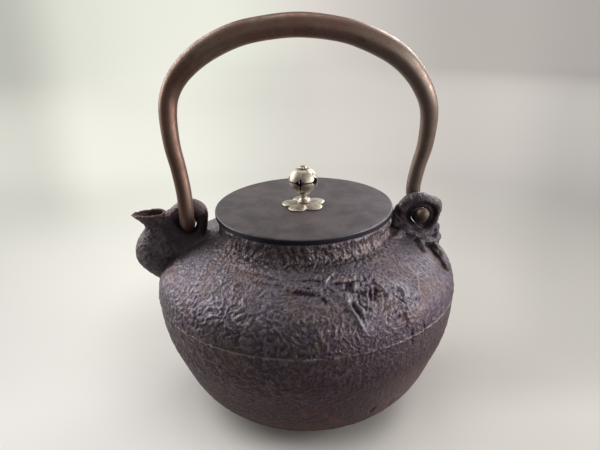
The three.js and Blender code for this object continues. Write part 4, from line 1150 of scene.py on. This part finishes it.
def make_knob(silver):
    tree = petal_tree()

    def petal_piece(name, profile, columns, shape, body, node, sharp=40, phase=PETAL_PHASE, inner=False):
        points, faces = petalled(profile, columns, phase, shape)
        # The inner faces of the bud get a layer of painted shade.
        inside = profile[:, 1] > 0.5 if inner else np.zeros(len(profile))
        sector = mesh_of(name, points, faces, inside=np.repeat(inside.astype(float), columns))
        dress(name, grown(sector, tree, Material=silver), silver, body, node, sharp)

    def washer_shape(radius, height, angle):
        bulge = np.abs(np.cos(angle * PETALS / 2)) ** 0.55
        reach = np.clip((radius - COLLAR_FOOT_RADIUS) / (WASHER_RADIUS - COLLAR_FOOT_RADIUS), 0, 1)
        inward = 1 - (1 - 0.62) * (1 - bulge) * reach
        down = 1 - (1 - 0.55) * (1 - bulge) * np.sqrt(reach)
        return radius * inward, LID_TOP + (height - LID_TOP) * down

    dome = between([[12.95, 0.4], [12.75, 0.65], [12, 0.95], [10.8, 1.2], [8, 1.5], [5, 1.6], [3.6, 1.6]],
                   np.linspace(0, 1, 30))
    washer = np.vstack([[[BORE_RADIUS, LID_TOP], [3.6, LID_TOP], [12.1, LID_TOP], [12.8, LID_TOP + 0.15]],
                        dome + [0, LID_TOP], [[BORE_RADIUS, WASHER_TOP]]])
    petal_piece("petal_washer_plate", washer, 60, washer_shape, "lid", "petal_washer",
                phase=PETAL_PHASE + WASHER_TURN)

    spool = between([[3.75, 0.35], [3.7, 0.95], [2.8, 1.5], [2.1, 2.4], [1.95, 3.2], [2.2, 4.3], [3.0, 5.2], [3.5, 5.7]],
                    np.linspace(0, 1, 40)) + [0, WASHER_TOP]
    collar = np.vstack([[[BORE_RADIUS, WASHER_TOP], [3.45, WASHER_TOP], [3.6, WASHER_TOP + 0.15]], spool,
                        [[3.5, COLLAR_TOP - 0.15], [3.35, COLLAR_TOP], [BORE_RADIUS, COLLAR_TOP]]])
    lathe("knob_collar_spool", collar, 96, silver, "lid", "knob_collar")

    def bud_piece(name, low, high, rim_at_top, node):
        def shape(place, layer, angle):
            """Place runs from the pole to the rim, and layer is 0 on the outer face and 1 on the inner."""
            off = np.abs(angle) * BUD_RADIUS
            off = (math.pi / PETALS) * BUD_RADIUS - off
            notch = 2.2 * np.clip(1 - off / 2.7, 0, 1)
            slit = np.where(off < 0.45, 2.6, 0.0) if rim_at_top else 0.0
            rim_height = BUD_SEAM - BUD_MIDDLE + (-0.35 - notch - slit if rim_at_top else 0.4 + notch)
            tall = BUD_CUP_HEIGHT if rim_at_top else BUD_CROWN_HEIGHT
            full = 0.78 if rim_at_top else 0.9
            rim_angle = np.arcsin(np.clip(rim_height / np.where(rim_height > 0, BUD_CROWN_HEIGHT, tall), -1, 1))
            pole = math.acos((BORE_RADIUS / (BUD_RADIUS - BUD_WALL)) ** (1 / full)) * (-1 if rim_at_top else 1)
            bend = pole + (rim_angle - pole) * place
            half = np.where(bend > 0, BUD_CROWN_HEIGHT, tall) - BUD_WALL * layer
            radius = (BUD_RADIUS - BUD_WALL * layer) * np.maximum(np.cos(bend), 0) ** full
            height = BUD_MIDDLE + half * np.sin(bend)
            if not rim_at_top:
                height = height - 1.0 * np.exp(-(radius / 2.4) ** 2)
            reach = np.maximum(0, (radius - BORE_RADIUS) / (BUD_RADIUS - BORE_RADIUS))
            from_crease = np.abs(np.cos(angle * PETALS / 2))
            depth = np.minimum(1, reach / 0.33) * 0.06
            inward = 1 - depth * (1 - from_crease) ** 3
            return radius * inward, height
        steps = np.linspace(0, 1, 34)
        outer = np.stack([steps, 0 * steps], 1)
        inner = np.stack([steps, 0 * steps + 1], 1)
        loop = np.vstack([outer, inner[::-1]]) if rim_at_top else np.vstack([inner, outer[::-1]])
        petal_piece(name, loop, 97, shape, "bud", node, 45, BUD_TURN, True)

    bud_piece("bud_cup_shell", 0, 0, True, "bud_cup")
    bud_piece("bud_crown_shell", 0, 0, False, "bud_crown")

    def rosette_shape(radius, height, angle):
        bulge = np.abs(np.cos(angle * PETALS / 2)) ** 0.55
        reach = np.clip((radius - BORE_RADIUS) / (ROSETTE_RADIUS - BORE_RADIUS), 0, 1)
        return radius * (1 - 0.2 * (1 - bulge) * reach), height

    edge = between([[1.75, 0], [2.5, 0.4], [2.3, 0.85], [1.75, 1.3]], np.linspace(0, 1, 16)) + [0, ROSETTE_BASE]
    rosette = np.vstack([[[BORE_RADIUS, ROSETTE_BASE]], edge, [[BORE_RADIUS, ROSETTE_BASE + ROSETTE_HEIGHT]]])
    petal_piece("rosette_cap", rosette, 24, rosette_shape, "lid", "rivet_rosette")

    top = RIM_HEIGHT - 0.3
    lathe("burr_plate", rounded([[BORE_RADIUS, top - 1], [4.6, top - 1], [4.6, top], [BORE_RADIUS, top]],
                                [0, 0.25, 0.15, 0]), 64, silver, "lid", "rivet_burr")
    head = RIM_HEIGHT - 1.6
    shaft = np.vstack([
        np.stack([2 * np.sin(np.linspace(0.05, math.pi / 2, 10)),
                  head - 0.9 * np.cos(np.linspace(0.05, math.pi / 2, 10))], 1),
        [[2.0, head], [1.0, head], [1.0, ROSETTE_BASE + ROSETTE_HEIGHT - 0.4]],
        np.stack([np.cos(np.linspace(0.2, 1.5, 8)),
                  ROSETTE_BASE + ROSETTE_HEIGHT - 0.4 + 0.3 * np.sin(np.linspace(0.2, 1.5, 8))], 1),
    ])
    dress("rivet_pin", mesh_of("rivet", *skin(turned(shaft, 48))), silver, "lid", "knob_rivet")


def make_stage():
    """A pale floor that curves up into the backdrop, and glows for the camera and in reflections, with painted light
    and painted shadows shaped into its glow.
    """
    made, sheet, shader, place = material("pale_paper")
    shader.inputs["Roughness"].default_value = 0.9
    shader.inputs["Specular IOR Level"].default_value = 0.1
    path = sheet.add("ShaderNodeLightPath").outputs
    corner = sheet.add("ShaderNodeSeparateXYZ", {0: place}).outputs
    behind = sheet.step(corner["Y"], -220, -60)
    seen = sheet.math("MAXIMUM", path["Is Camera Ray"], sheet.math("MULTIPLY", path["Is Glossy Ray"], behind))
    # Painted shade: to all but camera rays the paper in front of the kettle is dark, so the kettle's front gets
    # little light from it.
    shaded = sheet.math("MULTIPLY", sheet.math("SUBTRACT", 1.0, path["Is Camera Ray"]),
                        sheet.math("SUBTRACT", 1.0, behind))
    away = sheet.add("ShaderNodeVectorMath", {0: place}, operation="LENGTH").outputs["Value"]
    base = sheet.blend(sheet.step(away, 130, 480), colour(164, 161, 155), colour(92, 90, 87))
    base = sheet.blend(shaded, base, colour(40, 38, 38))
    sheet.tree.links.new(base, shader.inputs["Base Color"])
    # The glow is painted light: it is dimmer to the right and at the far left, stronger further back, and shaped
    # high up on the backdrop.
    depth = sheet.math("MAXIMUM", sheet.math("ADD", corner["Y"], 335), 100)
    column = sheet.math("DIVIDE", corner["X"], depth)
    across = sheet.math("MULTIPLY", sheet.step(column, -0.22, 0.02, 1.0, 0.72),
                        sheet.step(column, 0.02, 0.3, 1.0, 0.72))
    across = sheet.math("MULTIPLY", across, sheet.step(column, 0.33, 0.47, 1.0, 0.72))
    left = sheet.math("MULTIPLY", sheet.step(column, -0.34, -0.46, 0.0, 0.3), sheet.step(corner["Y"], 200, 420))
    across = sheet.math("SUBTRACT", across, left)
    spread = sheet.step(corner["Y"], -50, 60)
    front = sheet.step(corner["X"], 0, 80, 1.0, 0.68)
    across = sheet.math("ADD", sheet.math("MULTIPLY", across, spread),
                        sheet.math("MULTIPLY", front, sheet.math("SUBTRACT", 1.0, spread)))
    glow = sheet.math("ADD", sheet.step(corner["Y"], 50, 550, 0.39, 0.71),
                      sheet.step(corner["Y"], 30, -40, 0.0, 0.05))
    glow = sheet.math("MULTIPLY", glow, across)
    # Painted shade on the floor to the right of the kettle.
    shade = sheet.math("MULTIPLY", sheet.step(corner["X"], 40, 150, 0.0, 0.09), sheet.step(corner["Y"], -50, 0))
    shade = sheet.math("MULTIPLY", shade, sheet.step(corner["Y"], 400, 200))
    shade = sheet.math("MULTIPLY", shade, sheet.step(corner["X"], 320, 180))
    glow = sheet.math("SUBTRACT", glow, shade, clamp=True)
    # Painted shadow round the foot of the kettle.
    glow = sheet.math("MULTIPLY", glow, sheet.step(away, 50, 100, 0.6, 1.0))
    glow = sheet.math("MULTIPLY", glow, sheet.step(away, 50, 76))
    # Painted shadow behind the kettle.
    rear = sheet.vector("SUBTRACT", place, (0.0, 80.0, 0.0))
    rear = sheet.add("ShaderNodeVectorMath", {0: rear}, operation="LENGTH").outputs["Value"]
    glow = sheet.math("MULTIPLY", glow, sheet.step(rear, 100, 180, 0.62, 1.0))
    middle = sheet.math("MULTIPLY", sheet.step(column, -0.42, -0.2), sheet.step(column, 0.25, 0.05, 0.0, 0.11))
    peak = sheet.math("MULTIPLY", sheet.step(column, -0.22, -0.08), sheet.step(column, 0.1, -0.03, 0.0, 0.1))
    peak = sheet.math("MULTIPLY", peak, sheet.step(corner["Y"], 1400, 1750))
    right = sheet.math("ADD", sheet.step(column, 0.05, 0.3, -0.02, 0.06), sheet.step(column, 0.33, 0.47, 0.0, 0.06))
    high = sheet.math("ADD", sheet.math("ADD", middle, peak), right)
    glow = sheet.math("ADD", glow, sheet.math("MULTIPLY", high, sheet.step(corner["Y"], 900, 1450)))
    glow = sheet.math("MULTIPLY", glow, sheet.step(corner["Z"], 1300, 700))
    tint = sheet.blend(sheet.step(corner["Y"], 50, 350), colour(254, 250, 247), colour(252, 253, 240))
    tint = sheet.blend(sheet.step(corner["X"], -150, 150), tint, colour(255, 247, 240))
    sheet.tree.links.new(tint, shader.inputs["Emission Color"])
    sheet.tree.links.new(sheet.math("MULTIPLY", seen, glow), shader.inputs["Emission Strength"])
    bend = np.linspace(0, math.pi / 2, 24)
    curve = [[1.4 + 0.6 * math.sin(a), 0.6 - 0.6 * math.cos(a)] for a in bend]
    line = np.array([[-2.6, 0.0]] + curve + [[2.0, 2.6]])
    points = [[x, y, z] for x in (-3.0, 3.0) for y, z in line]
    count = len(line)
    faces = [[i, i + count, i + count + 1, i + 1] for i in range(count - 1)]
    mesh = bpy.data.meshes.new("paper_sweep")
    mesh.from_pydata(points, [], faces)
    mesh.materials.append(made)
    mesh.shade_smooth()
    placed("paper_sweep", mesh)


def make_camera():
    """The camera of the photograph: 36.45 mm lens, 22.33 degrees down, rolled by 1.79 degrees."""
    data = bpy.data.cameras.new("camera")
    data.lens = 36.45
    data.sensor_width = 36.0
    data.clip_start = 0.01
    camera = placed("camera", data)
    turn = Matrix.Rotation(math.radians(90 - 22.33), 4, "X") @ Matrix.Rotation(math.radians(-1.79), 4, "Z")
    camera.matrix_world = Matrix.Translation(Vector((-2.65, -334.8, 249.7)) * MM) @ turn
    bpy.context.scene.camera = camera


def make_lights():
    for name, (x, y, z, power) in LAMPS.items():
        data = bpy.data.lights.new(name, "AREA")
        data.shape = "SQUARE"
        data.size = LAMP_SIZE
        data.energy = power
        lamp = placed(name, data)
        away = Vector((x, y, z)).normalized()
        lamp.location = Vector((0, 0, SHOULDER_HEIGHT * MM)) + away * LAMP_DISTANCE
        lamp.rotation_mode = "QUATERNION"
        lamp.rotation_quaternion = away.to_track_quat("Z", "Y")
    world = bpy.data.worlds.new("room")
    world.use_nodes = True
    world.node_tree.nodes["Background"].inputs["Color"].default_value = (1.0, 0.98, 0.96, 1.0)
    world.node_tree.nodes["Background"].inputs["Strength"].default_value = ROOM_LIGHT
    bpy.context.scene.world = world


bpy.context.scene.view_settings.view_transform = "Standard"
make_camera()
make_lights()
make_stage()
make_casting(iron_material())
make_bail(bronze_material())
make_lid(lid_material())
make_knob(silver_material())
